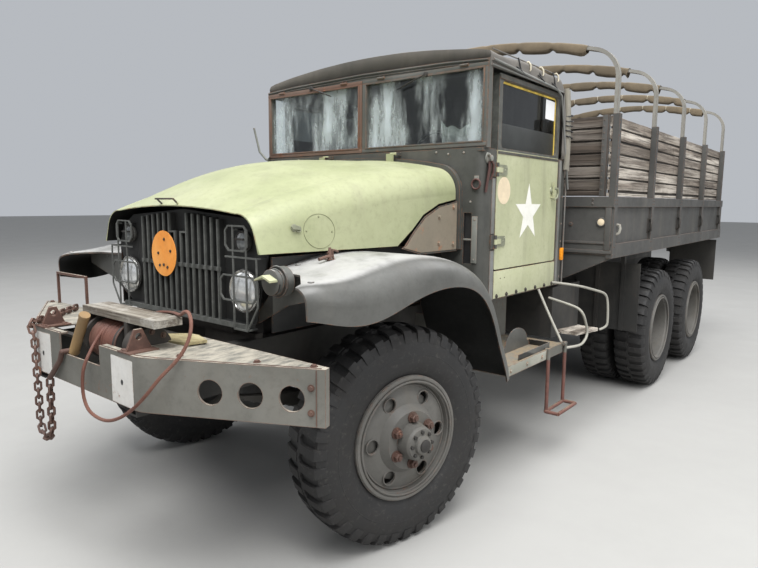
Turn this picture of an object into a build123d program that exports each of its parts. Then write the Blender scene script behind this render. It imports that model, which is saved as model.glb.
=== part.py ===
"""Military cargo truck with six driven wheels, soft cab top and a slatted cargo bed.

Millimetres. +X is the truck's left, +Y its rear, +Z up, and the wheels stand on Z = 0.
Distances called y below are measured rearward from the datum, the steered wheels' centre line.
"""
import os
from math import asin, cos, degrees, pi, radians, sin, sqrt

from build123d import *

os.makedirs("parts", exist_ok=True)

# Whole truck
bumper_front_y = -1020
bed_rear_y = 5754
front_end_y = bumper_front_y - 35.5        # the recovery chain hangs this far in front of the bumper
rear_end_y = bed_rear_y + 54             # the tailgate's outer face
datum_y = -(front_end_y + rear_end_y) / 2
half_width = 1146

# Clearances
run_gap = 0.3          # turning faces, shafts and pins
seat_gap = 0.3         # curved or soft faces that rest on each other
panel_gap = 6          # round doors, hood and tailgate

# Wheels, tyres and steering
tyre_radius = 503
tyre_half_width = 129
tread_half_width = 110
bead_radius = 262
bead_half_width = 104
rim_flange_radius = 287
rim_half_width = 116
rim_wall = 8
dual_spacing = 286
front_wheel_x = 860
rear_wheel_x = 894
axle_z = tyre_radius
kingpin_x = 680
kingpin_y = 40
rest_steer = -13       # degrees about +Z, towards the truck's right
knuckle_ball_radius = 105
knuckle_wall = 17
spindle_radius = 34
rear_spindle_radius = 39
drum_radius = 203
hub_radius = 80
steer_arm_length = 215
steer_arm_drop = 63
tie_rod_radius = 18
tie_pin_radius = 10
bogie_front_y = 3370
bogie_spacing = 1219
bogie_y = [bogie_front_y, bogie_front_y + bogie_spacing]
trunnion_y = bogie_front_y + bogie_spacing / 2

# Ladder frame
rail_outer_x = 430
rail_depth = 200
rail_flange = 64
rail_web = 8
rail_bottom_z = 745
rail_top_z = rail_bottom_z + rail_depth
rail_front_y = bumper_front_y + 7.5
rail_rear_y = 5700

# Front bumper and winch
bumper_bottom_z = 775
bumper_top_z = 984
bumper_plate = 7
bumper_flat_x = 460
bumper_end_x = 1100
bumper_end_y = -690
winch_notch_x = 175
winch_notch_z = 900

# Hood, fenders and grille
hood_skin = 5
hood_front_y = -570
hood_rear_y = 728
hood_rail_z = 1342
fender_skin = 8
fender_inner_x = 600
fender_outer_x = 1085
grille_y = -520
grille_half_width = 506
grille_bottom_z = 1035

# Cab
cab_half_width = 860
cab_front_y = 762
cab_rear_y = 1897
cab_wall = 26
cab_bottom_z = 1006
cab_floor_z = 1060
belt_z = 1842
door_front_y = 921
door_rear_y = 1749
door_bottom_z = 1178
door_top_z = 2258
door_thickness = 44
windshield_y = 797
windshield_frame_depth = 42
windshield_top_z = 2332
windshield_bottom_z = 1850
glass_thickness = 6
hinge_x = cab_half_width + 12
hinge_pin_y = door_front_y - 14
hinge_z = (1300, 1700)
canvas_thickness = 12
roof_top_z = 2452

# Cargo bed
bed_front_y = 2046
bed_bottom_z = 1186
bed_floor_z = 1250
bed_floor_plate = 18
bed_rail_z = 1604
bed_rail_height = 70
bed_wall = 22
bed_sill_z = rail_top_z
sill_count = 7
sill_width = 56
sill_y = [bed_front_y + 8 + i * (bed_rear_y - bed_front_y - 76) / (sill_count - 1) for i in range(sill_count)]
rack_top_z = 2151
board_height = 76
board_pitch = 84
board_count = 6
board_thickness = 24
post_width = 46
post_depth = 44
first_post_y = 2075
last_post_y = 5640
post_count = 5


def across(y):
    """Plane of a cross-section y behind the datum: local x is X, local y is Z, facing forward."""
    return Plane(origin=(0, datum_y + y, 0), x_dir=(1, 0, 0), z_dir=(0, -1, 0))


def beside(x):
    """Plane of a side view at x: local x is the distance behind the datum, local y is Z."""
    return Plane(origin=(x, datum_y, 0), x_dir=(0, 1, 0), z_dir=(1, 0, 0))


def level(z):
    """Plane of a plan view at z: local x is X, local y is the distance behind the datum."""
    return Plane(origin=(0, datum_y, z), x_dir=(1, 0, 0), z_dir=(0, 0, 1))


def block(x, y, z, mode=Mode.ADD):
    """Add a straight-sided block, given as three (low, high) pairs."""
    middle = ((x[0] + x[1]) / 2, datum_y + (y[0] + y[1]) / 2, (z[0] + z[1]) / 2)
    with Locations(middle):
        Box(abs(x[1] - x[0]), y[1] - y[0], z[1] - z[0], mode=mode)


def both(low, high, side):
    """The (low, high) pair of X values on one side of the truck."""
    return tuple(sorted((side * low, side * high)))


def rod(start, end, radius, mode=Mode.ADD):
    """Add a round bar between two (x, y, z) points."""
    a = Vector(start[0], datum_y + start[1], start[2])
    b = Vector(end[0], datum_y + end[1], end[2])
    with Locations(Plane(origin=a, z_dir=b - a)):
        Cylinder(radius, (b - a).length, align=(Align.CENTER, Align.CENTER, Align.MIN), mode=mode)


def finish(part, name):
    part.label = name
    export_step(part, f"parts/{name}.step")


# Wheel forms, on their own axis: +X is outboard, X = 0 the tyre's middle or the duals' mounting face
def faceted_turn(profile, sides):
    """A form turned about X in flat facets, one facing down, from a closed loop of (x, radius to the facets)."""
    corner = 1 / cos(pi / sides)

    def point(i, j):
        x, radius = profile[i % len(profile)]
        angle = 2 * pi * (j + 0.5) / sides
        return (x, radius * corner * sin(angle), -radius * corner * cos(angle))

    faces = []
    for i in range(len(profile)):
        for j in range(sides):
            faces.append(Face(Wire.make_polygon([point(i, j), point(i + 1, j), point(i + 1, j + 1), point(i, j + 1)])))
    return Solid(Shell(faces))


# columns: x from the tyre's middle, radius; the tread reaches out to the lugs' tips
tyre_sides = 24
tyre_profile = [(-bead_half_width, bead_radius), (-bead_half_width, rim_flange_radius + 13), (-tyre_half_width, 385),
                (-tread_half_width, tyre_radius), (tread_half_width, tyre_radius), (tyre_half_width, 385),
                (bead_half_width, rim_flange_radius + 13), (bead_half_width, bead_radius)]
with BuildPart() as tyre_form:
    add(faceted_turn(tyre_profile, tyre_sides))

barrel_outer = bead_radius - seat_gap
barrel_inner = barrel_outer - rim_wall
flange_x = bead_half_width + seat_gap
dish_x = dual_spacing / 2          # from the tyre's middle to the mounting face
disc_thickness = 9
hand_hole_radius = 31
hand_hole_circle = 192

with BuildPart() as disc_wheel_form:      # rim and disc, tyre's middle at X = 0, dished outboard
    with BuildSketch(Plane.XY):
        Polygon(
            (-rim_half_width, rim_flange_radius), (-flange_x - 3, rim_flange_radius),
            (-flange_x, barrel_outer), (flange_x, barrel_outer),
            (flange_x, rim_flange_radius), (rim_half_width, rim_flange_radius),
            (rim_half_width + 2, barrel_outer + 4), (rim_half_width - 6, barrel_inner - 4),
            (88, barrel_inner - 8), (104, hand_hole_circle), (110, 158),
            (dish_x, 132), (dish_x, hub_radius), (dish_x - disc_thickness, hub_radius),
            (dish_x - disc_thickness, 126), (110 - disc_thickness, 152),
            (104 - disc_thickness, hand_hole_circle), (76, barrel_inner),
            (-flange_x + 6, barrel_inner), (-rim_half_width, rim_flange_radius - 20),
            align=None)
    revolve(axis=Axis.X)
    with Locations(Plane(origin=(70, 0, 0), x_dir=(0, 1, 0), z_dir=(1, 0, 0))):
        with PolarLocations(hand_hole_circle, 6):
            Cylinder(hand_hole_radius, 60, align=(Align.CENTER, Align.CENTER, Align.MIN), mode=Mode.SUBTRACT)

with BuildPart() as front_hub_form:       # hub, drive flange and brake drum, tyre's middle at X = 0
    with BuildSketch(Plane.XY):
        bore = spindle_radius + run_gap
        Polygon(
            (-20, bore), (190, bore), (190, 0), (232, 0), (232, 30), (226, 40), (212, 44), (208, 68),
            (196, 76), (dish_x + 8, 84), (dish_x, 84), (dish_x, hub_radius),
            (dish_x - disc_thickness, hub_radius), (dish_x - disc_thickness, 122),
            (dish_x - disc_thickness - 12, 122), (dish_x - disc_thickness - 12, hub_radius),
            (84, hub_radius), (84, drum_radius - 30), (76, drum_radius), (-55, drum_radius), (-55, drum_radius - 12),
            (64, drum_radius - 12), (64, hub_radius - 10), (-20, hub_radius - 10),
            align=None)
    revolve(axis=Axis.X)

with BuildPart() as front_wheel_form:
    add(disc_wheel_form.part)
    add(front_hub_form.part)

with BuildPart() as rear_hub_form:        # mounting face at X = 0
    with BuildSketch(Plane.XY):
        bore = rear_spindle_radius + run_gap
        Polygon(
            (-225, bore), (95, bore), (95, 0), (118, 0), (118, 40), (104, 62), (96, 80),
            (disc_thickness * 2, hub_radius + 6), (disc_thickness, hub_radius + 6), (disc_thickness, hub_radius),
            (-disc_thickness, hub_radius), (-disc_thickness, 122),
            (-disc_thickness - 12, 122), (-disc_thickness - 12, hub_radius), (-76, hub_radius),
            (-76, drum_radius), (-225, drum_radius), (-225, drum_radius - 12), (-96, drum_radius - 12),
            (-96, hub_radius - 8), (-225, hub_radius - 8),
            align=None)
    revolve(axis=Axis.X)

with BuildPart() as dual_wheel_form:
    with Locations(Location((-dish_x, 0, 0))):
        add(disc_wheel_form.part)
    with Locations(Location((dish_x, 0, 0), (0, 0, 180))):
        add(disc_wheel_form.part)
    add(rear_hub_form.part)

sides = [("left", 1), ("right", -1)]


def steered(side):
    """The steered axle end's frame on one side: kingpin at the origin, +X outboard, at rest."""
    turn = rest_steer + (0 if side > 0 else 180)
    return Location((side * kingpin_x, datum_y + kingpin_y, axle_z), (0, 0, turn))


front_wheel_offset = front_wheel_x - kingpin_x
for name, side in sides:
    place = steered(side) * Location((front_wheel_offset, 0, 0))
    with BuildPart() as front_tyre:
        with Locations(place):
            add(tyre_form.part)
    finish(front_tyre.part, f"front_tyre_{name}")
    with BuildPart() as front_wheel:
        with Locations(place):
            add(front_wheel_form.part)
    finish(front_wheel.part, f"front_wheel_{name}")

for row, y in zip(("forward", "rearmost"), bogie_y):
    for name, side in sides:
        place = Location((side * rear_wheel_x, datum_y + y, axle_z), (0, 0, 0 if side > 0 else 180))
        with BuildPart() as dual_tyres:
            with Locations(place * Location((-dish_x, 0, 0)), place * Location((dish_x, 0, 0))):
                add(tyre_form.part)
        finish(dual_tyres.part, f"dual_tyres_{row}_{name}")
        with BuildPart() as dual_wheels:
            with Locations(place):
                add(dual_wheel_form.part)
        finish(dual_wheels.part, f"dual_wheels_{row}_{name}")

# Steering knuckles: a hollow ball housing on the axle's end ball, brake plate, spindle and steering arm
shell_outer = knuckle_ball_radius + run_gap + knuckle_wall
plate_x = front_wheel_offset - 55 - panel_gap      # brake plate's outer face, just inside the drum's open end
shell_inner = knuckle_ball_radius + run_gap
shell_mouth = 36
spindle_end = front_wheel_offset + 183
arm_top_z = -steer_arm_drop + 13
arm_bottom_z = -steer_arm_drop - 13


def kingpin_ball(radius):
    """The axle's end ball, turned about the kingpin with straight flanks."""
    with BuildSketch(Plane.XZ) as half:
        Polygon((0, -radius), (0.55 * radius, -0.86 * radius), (radius, -0.4 * radius), (radius, 0.4 * radius),
                (0.55 * radius, 0.86 * radius), (0, radius), align=None)
    return revolve(half.sketch, axis=Axis.Z, mode=Mode.PRIVATE)


for name, side in sides:
    arm_end_y = steer_arm_length * side            # the arm points to the truck's rear
    with BuildPart() as knuckle:
        with BuildSketch(Plane.XY):
            outer_rim = sqrt(shell_outer ** 2 - shell_mouth ** 2)
            plate_back = plate_x - 12
            waist = sqrt(shell_outer ** 2 - plate_back ** 2)
            Polygon((-shell_mouth, 0), (-shell_mouth, outer_rim), (0, shell_outer),
                    (shell_outer / 2, shell_outer * 0.87), (plate_back, waist), (plate_back, drum_radius),
                    (plate_x, drum_radius),
                    (plate_x, spindle_radius), (spindle_end, spindle_radius), (spindle_end, 0), align=None)
        revolve(axis=Axis.X)
        add(kingpin_ball(shell_inner), mode=Mode.SUBTRACT)
        with BuildSketch(Plane.XY.offset(arm_bottom_z)):
            arm_root_y = side * sqrt(shell_outer ** 2 - steer_arm_drop ** 2) * 0.95
            with BuildLine():
                Polyline((-24, arm_root_y), (30, arm_root_y), (20, arm_end_y), (-20, arm_end_y), close=True)
            make_face()
            with Locations((0, arm_end_y)):
                Circle(24)
                Circle(tie_pin_radius + run_gap, mode=Mode.SUBTRACT)
        extrude(amount=arm_top_z - arm_bottom_z)
    with BuildPart() as placed_knuckle:
        with Locations(steered(side)):
            add(knuckle.part)
    finish(placed_knuckle.part, f"knuckle_{name}")

# Tie rod between the two steering arms, hung below them on pins
arm_dx = -steer_arm_length * sin(radians(rest_steer))
arm_dy = steer_arm_length * cos(radians(rest_steer))
tie_y = kingpin_y + arm_dy
tie_z = axle_z + arm_bottom_z - 2 - tie_rod_radius
with BuildPart() as tie_rod:
    rod((-kingpin_x + arm_dx, tie_y, tie_z), (kingpin_x + arm_dx, tie_y, tie_z), tie_rod_radius)
    for name, side in sides:
        end_x = side * kingpin_x + arm_dx
        rod((end_x, tie_y, tie_z - 22), (end_x, tie_y, axle_z + arm_bottom_z - run_gap), 26)
        rod((end_x, tie_y, tie_z), (end_x, tie_y, axle_z + arm_top_z + 14), tie_pin_radius)
finish(tie_rod.part, "tie_rod")

# Ladder frame
cross_member_y = [-560, 690, 1700, 2700, trunnion_y, 5000, rail_rear_y - 40]
with BuildPart() as frame_rails:
    with BuildSketch(across(rail_front_y)):
        for side in (1, -1):
            with BuildLine():
                web = side * rail_outer_x
                inner = side * (rail_outer_x - rail_web)
                lip = side * (rail_outer_x - rail_flange)
                Polyline(
                    (web, rail_bottom_z), (web, rail_top_z), (lip, rail_top_z), (lip, rail_top_z - rail_web),
                    (inner, rail_top_z - rail_web), (inner, rail_bottom_z + rail_web),
                    (lip, rail_bottom_z + rail_web), (lip, rail_bottom_z), close=True)
            make_face()
    extrude(amount=-(rail_rear_y - rail_front_y))
    for y in cross_member_y:
        cross_top = rail_top_z - 30
        cross_bottom = rail_bottom_z + 20
        block((-rail_outer_x + 4, rail_outer_x - 4), (y, y + 8), (cross_bottom, cross_top))
        block((-rail_outer_x + 4, rail_outer_x - 4), (y, y + 55), (cross_top - 8, cross_top))
        block((-rail_outer_x + 4, rail_outer_x - 4), (y, y + 55), (cross_bottom, cross_bottom + 8))
    # pintle hook behind the last cross member
    block((-90, 90), (rail_rear_y - 40, rail_rear_y - 2), (rail_bottom_z + 20, rail_top_z - 30))
    rod((0, rail_rear_y - 4, 845), (0, rail_rear_y + 20, 845), 45)
    block((-20, 20), (rail_rear_y + 18, rail_rear_y + 62), (806, 826))
    block((-20, 20), (rail_rear_y + 46, rail_rear_y + 66), (806, 872))
    block((-20, 20), (rail_rear_y + 18, rail_rear_y + 66), (868, 888))
    for side in (1, -1):                  # cab mounts
        for y in (900, 1780):
            block(both(rail_outer_x - rail_flange, rail_outer_x, side), (y, y + 70), (rail_top_z, cab_floor_z - 12))
finish(frame_rails.part, "frame_rails")

# Front bumper: a bent channel with swept ends, top plates, tow brackets and an upright hoop
bumper_path = [(-bumper_end_x, bumper_end_y), (-bumper_flat_x, bumper_front_y),
               (bumper_flat_x, bumper_front_y), (bumper_end_x, bumper_end_y)]
bumper_bend = 160
top_plate_rear_y = -700
bumper_hole_radius = 47
bumper_hole_z = 872
hoop_top_z = 1160
sweep_dx = bumper_end_x - bumper_flat_x
sweep_dy = bumper_end_y - bumper_front_y
sweep_length = sqrt(sweep_dx ** 2 + sweep_dy ** 2)
with BuildPart() as front_bumper:
    with BuildSketch(level(bumper_bottom_z)):
        with BuildLine():
            FilletPolyline(*bumper_path, radius=bumper_bend)
            Line(bumper_path[-1], (bumper_end_x - 10, top_plate_rear_y + 40))
            Line((bumper_end_x - 10, top_plate_rear_y + 40), (-bumper_end_x + 10, top_plate_rear_y + 40))
            Line((-bumper_end_x + 10, top_plate_rear_y + 40), bumper_path[0])
        make_face()
    extrude(amount=bumper_top_z - bumper_bottom_z)
    # hollow behind the front plate, open below and at the back
    with BuildSketch(level(bumper_bottom_z + bumper_plate)):
        with BuildLine():
            inner_path = [(-bumper_end_x + bumper_plate + 4, bumper_end_y + bumper_plate),
                          (-bumper_flat_x + 2, bumper_front_y + bumper_plate),
                          (bumper_flat_x - 2, bumper_front_y + bumper_plate),
                          (bumper_end_x - bumper_plate - 4, bumper_end_y + bumper_plate)]
            FilletPolyline(*inner_path, radius=bumper_bend - bumper_plate)
            Line(inner_path[-1], (inner_path[-1][0] - 4, 0))
            Line((inner_path[-1][0] - 4, 0), (inner_path[0][0] + 4, 0))
            Line((inner_path[0][0] + 4, 0), inner_path[0])
        make_face()
    extrude(amount=bumper_top_z - bumper_bottom_z - 2 * bumper_plate, mode=Mode.SUBTRACT)
    # the bottom flange is only as deep as the channel
    with BuildSketch(level(bumper_bottom_z)):
        with BuildLine():
            flange_path = [(-bumper_end_x + 50, bumper_end_y + 45), (-bumper_flat_x + 20, bumper_front_y + 65),
                           (bumper_flat_x - 20, bumper_front_y + 65), (bumper_end_x - 50, bumper_end_y + 45)]
            FilletPolyline(*flange_path, radius=bumper_bend - 65)
            Line(flange_path[-1], (bumper_end_x - 50, 0))
            Line((bumper_end_x - 50, 0), (-bumper_end_x + 50, 0))
            Line((-bumper_end_x + 50, 0), flange_path[0])
        make_face()
    extrude(amount=bumper_plate + 1, mode=Mode.SUBTRACT)
    # winch bay between the two top plates
    block((-winch_notch_x, winch_notch_x), (bumper_front_y - 1, 0), (winch_notch_z, bumper_top_z + 1), Mode.SUBTRACT)
    block((-330, 330), (bumper_front_y + 36, 0), (winch_notch_z, bumper_top_z + 1), Mode.SUBTRACT)
    for side in (1, -1):
        block(both(rail_outer_x - rail_flange - 2, rail_outer_x + 2, side), (bumper_front_y + bumper_plate, -900),
              (bumper_bottom_z - 1, bumper_bottom_z + bumper_plate + 1), Mode.SUBTRACT)
    for side in (1, -1):
        for share in (0.40, 0.615, 0.83):
            hole_x = side * (bumper_flat_x + share * sweep_dx)
            hole_y = bumper_front_y + share * sweep_dy
            reach_x = side * 40 * sweep_dy / sweep_length
            reach_y = 40 * sweep_dx / sweep_length
            rod((hole_x - reach_x, hole_y + reach_y, bumper_hole_z),
                (hole_x + reach_x, hole_y - reach_y, bumper_hole_z), bumper_hole_radius, Mode.SUBTRACT)
        with BuildSketch(beside(side * 370 - 6)):
            with BuildLine():
                Polyline((-985 - 30, bumper_top_z), (-985 + 78, bumper_top_z), (-985 + 40, bumper_top_z + 84),
                         (-985 + 8, bumper_top_z + 84), close=True)
            make_face()
            with Locations((-985 + 24, bumper_top_z + 56)):
                Circle(14, mode=Mode.SUBTRACT)
        extrude(amount=12)
    # hoop of flat bar at the back of the right top plate
    hoop_y = (top_plate_rear_y + 20, top_plate_rear_y + 32)
    block((-980, -640), hoop_y, (bumper_top_z, hoop_top_z))
    block((-968, -652), (hoop_y[0] - 1, hoop_y[1] + 1), (bumper_top_z, hoop_top_z - 12), Mode.SUBTRACT)
finish(front_bumper.part, "front_bumper")

# Winch between the frame horns
winch_y = -880
winch_z = 968
winch_drum_x = (-50, 190)
with BuildPart() as winch:
    rod((-150, winch_y, winch_z), (330, winch_y, winch_z), 28)
    for x in winch_drum_x:
        rod((x, winch_y, winch_z), (x + 14, winch_y, winch_z), 95)
    rod((winch_drum_x[0] + 10, winch_y, winch_z), (winch_drum_x[1] + 4, winch_y, winch_z), 74)
    for x in (-110, 232):
        block((x, x + 22), (winch_y - 62, winch_y + 62), (rail_top_z + 2, 1074))
    for y in (winch_y - 70, winch_y + 40):
        block((-rail_outer_x, rail_outer_x), (y, y + 30), (rail_top_z, rail_top_z + 12))
    rod((254, winch_y, winch_z), (330, winch_y, winch_z), 88)
finish(winch.part, "winch")

with BuildPart() as winch_planks:         # weathered boards laid across the winch
    block((-118, 452), (-940, -820), (1074 + seat_gap, 1104))
finish(winch_planks.part, "winch_planks")

# Hood: a crowned one-piece shell, narrower and lower at the nose
# columns: y, half width at the rail, rail z, shoulder x, shoulder z, corner x, corner z, crown z
hood_sections = [
    (hood_front_y, 622, hood_rail_z, 590, 1420, 470, 1504, 1534),
    (-200, 668, hood_rail_z, 655, 1500, 520, 1622, 1716),
    (240, 716, hood_rail_z, 704, 1560, 590, 1706, 1782),
    (hood_rear_y, 722, hood_rail_z, 716, 1600, 604, 1746, 1806),
]


def hood_outline(section, inset):
    """Closed arch of lines and arcs in a cross-section plane, inset by a skin's thickness."""
    y, rail_x, rail_z, shoulder_x, shoulder_z, corner_x, corner_z, crown_z = section
    a = inset
    rail_z = rail_z - 4 * inset
    points = [(rail_x - a, rail_z), (shoulder_x - a, shoulder_z), (corner_x - a * 0.7, corner_z - a * 0.7),
              (0, crown_z - a)]
    mid_x = corner_x + (shoulder_x - corner_x) * 0.72 - a * 0.8
    mid_z = shoulder_z + (corner_z - shoulder_z) * 0.66 - a * 0.8
    with BuildSketch(across(y)) as outline:
        with BuildLine():
            Line(points[0], points[1])
            ThreePointArc(points[1], (mid_x, mid_z), points[2])
            ThreePointArc(points[2], points[3], (-points[2][0], points[2][1]))
            ThreePointArc((-points[2][0], points[2][1]), (-mid_x, mid_z), (-points[1][0], points[1][1]))
            Line((-points[1][0], points[1][1]), (-points[0][0], points[0][1]))
            Line((-points[0][0], points[0][1]), points[0])
        make_face()
    return outline.sketch


hood_hinge_y = hood_rear_y + 12
hood_hinge_z = 1836
hood_hinge_x = 275
with BuildPart() as hood_core:            # the space under the skin, a little longer than the hood
    loft([hood_outline(section, hood_skin) for section in hood_sections])
    for plane_y, reach in ((hood_front_y, 20), (hood_rear_y, -20)):
        section = hood_sections[0] if reach > 0 else hood_sections[-1]
        extrude(hood_outline(section, hood_skin), amount=reach)

with BuildPart() as hood:
    loft([hood_outline(section, 0) for section in hood_sections])
    add(hood_core.part, mode=Mode.SUBTRACT)
    # cut-away at each rear lower corner
    with BuildSketch(beside(-900)):
        with BuildLine():
            Polyline((215, 1300), (215, hood_rail_z + 1), (330, 1420), (420, 1492), (560, 1548),
                     (hood_rear_y + 5, 1574), (hood_rear_y + 5, 1300), close=True)
        make_face()
    extrude(amount=1800, mode=Mode.SUBTRACT)
    for x in (-hood_hinge_x - 25, hood_hinge_x - 25):      # hinge barrels
        rod((x, hood_hinge_y, hood_hinge_z), (x + 50, hood_hinge_y, hood_hinge_z), 9)
        block((x, x + 50), (hood_rear_y - 30, hood_hinge_y), (hood_hinge_z - 8, hood_hinge_z))
        block((x, x + 50), (hood_rear_y - 30, hood_rear_y - 22), (1780, hood_hinge_z))
        rod((x - 1, hood_hinge_y, hood_hinge_z), (x + 51, hood_hinge_y, hood_hinge_z), 5 + run_gap, Mode.SUBTRACT)
    # handle of bent bar over the nose
    handle_x = (-88, 54)
    handle_bar = 8
    handle_top_z = 1566
    for x in (handle_x[0], handle_x[1] - handle_bar):
        with BuildSketch(beside(x)):
            Polygon((hood_front_y + 14, 1529), (hood_front_y + 24, 1529), (hood_front_y - 18, handle_top_z),
                    (hood_front_y - 26, handle_top_z), align=None)
        extrude(amount=handle_bar)
    block(handle_x, (hood_front_y - 26, hood_front_y - 18), (handle_top_z - handle_bar, handle_top_z))
finish(hood.part, "hood")

# Front fenders: a skin bent over each wheel, its outer edge rolled down, deepest at the nose
# columns: y and z on the skin's top, its slope there in degrees, outer x, depth of the rolled edge, radius of the roll
fender_stations = [
    (-668, 1250, 4, 985, 120, 60),
    (-560, 1268, 8, 1050, 165, 90),
    (-300, 1306, 7, fender_outer_x, 185, 120),
    (-60, 1330, 0, fender_outer_x, 160, 120),
    (190, 1302, -12, fender_outer_x, 125, 100),
    (420, 1208, -33, fender_outer_x, 95, 75),
    (580, 1010, -60, fender_outer_x, 70, 50),
    (664, 824, -66, fender_outer_x, 60, 42),
    (742, 640, -68, fender_outer_x, 52, 36),
]


def fender_section(station, side):
    """Section across the skin at one station, local x outboard and local y away from the wheel."""
    y, z, slope, outer, depth, roll = station
    lean = radians(slope)
    inside = roll - fender_skin
    share = sin(radians(45))
    with BuildSketch(Plane(origin=(0, datum_y + y, z), x_dir=(side, 0, 0),
                           z_dir=(0, -side * cos(lean), -side * sin(lean)))) as section:
        with BuildLine():
            Line((fender_inner_x, 0), (outer - roll, 0))
            ThreePointArc((outer - roll, 0), (outer - roll + roll * share, -roll + roll * share), (outer, -roll))
            Line((outer, -roll), (outer, -depth))
            Line((outer, -depth), (outer - fender_skin, -depth))
            Line((outer - fender_skin, -depth), (outer - fender_skin, -roll))
            ThreePointArc((outer - fender_skin, -roll), (outer - roll + inside * share, -roll + inside * share),
                          (outer - roll, -fender_skin))
            Line((outer - roll, -fender_skin), (fender_inner_x, -fender_skin))
            Line((fender_inner_x, -fender_skin), (fender_inner_x, 0))
        make_face()
    return section.sketch


with BuildPart() as front_fenders:
    for side in (1, -1):
        loft([fender_section(station, side) for station in fender_stations])
        # the front edge runs back towards the grille
        with BuildSketch(level(1050)):
            s = side
            Polygon((s * 590, -700), (s * 590, grille_y + 26), (s * 800, grille_y), (s * 930, -640), (s * 930, -700),
                    align=None)
        extrude(amount=300, mode=Mode.SUBTRACT)
        # nose panel below the fender's front edge
        with BuildSketch(across(grille_y + 32)):
            s = side
            Polygon((s * fender_inner_x, 1272), (s * 950, 1272), (s * 950, 1200), (s * 700, 1135),
                    (s * 520, 1040), (s * 520, 1090), (s * fender_inner_x, 1180), align=None)
        extrude(amount=fender_skin)
        # inner apron between fender and frame
        block(both(fender_inner_x, fender_inner_x + 8, side), (grille_y + 24, cab_front_y), (1010, 1326))
finish(front_fenders.part, "front_fenders")

# Grille: a dark shell with vertical bars and tie strips, behind the hood's nose
grille_bar_count = 14
grille_bar_pitch = 47
grille_bar_width = 10
grille_back_y = grille_y + 16        # the panel's front face
notch_z = 1415                       # foot of the dark notch above the two middle bars
guard_wire = 7
guard_y = (grille_y - 40, grille_y - 34)
# columns: low x, high x, low z, high z of each lamp's guard loop
guard_loops = [(380, 530, 1345, 1455), (340, 580, 1132, 1246)]


def flat_ring(low_x, high_x, low_z, high_z, wire):
    """Rectangular loop of flat wire with cut corners, drawn in the current cross-section."""
    for inset, corner, mode in ((0, 22, Mode.ADD), (wire, 19, Mode.SUBTRACT)):
        x0, x1 = low_x + inset, high_x - inset
        z0, z1 = low_z + inset, high_z - inset
        Polygon((x0 + corner, z0), (x1 - corner, z0), (x1, z0 + corner), (x1, z1 - corner), (x1 - corner, z1),
                (x0 + corner, z1), (x0, z1 - corner), (x0, z0 + corner), align=None, mode=mode)


with BuildPart() as grille:
    with BuildSketch(across(grille_y + 24)):
        Polygon((-grille_half_width, grille_bottom_z), (-592, hood_rail_z - 8), (-555, 1420), (-450, 1482),
                (0, 1516), (450, 1482), (555, 1420), (592, hood_rail_z - 8), (grille_half_width, grille_bottom_z),
                align=None)
        with Locations((0, 1240)):
            Rectangle(620, 340, mode=Mode.SUBTRACT)
    extrude(amount=8)
    for i in range(grille_bar_count):
        x = (i - (grille_bar_count - 1) / 2) * grille_bar_pitch
        top = notch_z if abs(x) < grille_bar_pitch else 1500 - 0.00026 * x * x
        block((x - grille_bar_width / 2, x + grille_bar_width / 2), (grille_y - 22, grille_back_y + 1),
              (grille_bottom_z, top))
    for side in (1, -1):
        block(both(grille_bar_pitch / 2, grille_bar_pitch * 1.5, side), (grille_y - 22, grille_y - 6),
              (notch_z - 8, notch_z))
    block((-316, 316), (grille_y - 14, grille_y - 6), (1250, 1268))
    block((-grille_half_width, grille_half_width), (grille_y - 22, grille_back_y + 1),
          (grille_bottom_z - 22, grille_bottom_z))
    # guards of flat wire before the lamps, on stays from the panel
    for side in (1, -1):
        for low_x, high_x, low_z, high_z in guard_loops:
            with BuildSketch(across(guard_y[1])):
                x0, x1 = both(low_x, high_x, side)
                flat_ring(x0, x1, low_z, high_z, guard_wire)
            extrude(amount=guard_y[1] - guard_y[0])
        for x, low_z, high_z in ((515, 1012, 1440), (430, 1012, 1452)):
            block(both(x, x + guard_wire, side), guard_y, (low_z, high_z))
        for low_x, high_x, z in ((380, 586, 1318), (430, 522, 1012)):
            block(both(low_x, high_x, side), guard_y, (z, z + guard_wire))
        with BuildSketch(across(guard_y[1])):
            Polygon((side * 580, 1325), (side * 586, 1325), (side * 592, 1120), (side * 522, 1012), (side * 514, 1012),
                    (side * 585, 1122), align=None)
        extrude(amount=guard_y[1] - guard_y[0])
        for x, z in ((515, 1432), (430, 1432), (578, 1318), (430, 1012), (515, 1012)):
            block(both(x, x + guard_wire, side), (guard_y[1] - 1, grille_back_y + 1), (z, z + guard_wire))
finish(grille.part, "grille")

# Radiator core behind the grille and the engine between the rails, closed in by the hood
with BuildPart() as engine_and_radiator:
    block((-300, 300), (-470, -380), (rail_top_z + 20, 1490))
    block((-240, 240), (-240, 640), (rail_bottom_z + 10, 1400))
    for y in (-440, 500):
        block((-rail_outer_x + 4, rail_outer_x - 4), (y, y + 40), (rail_top_z, rail_top_z + 24))
finish(engine_and_radiator.part, "engine_and_radiator")

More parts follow.
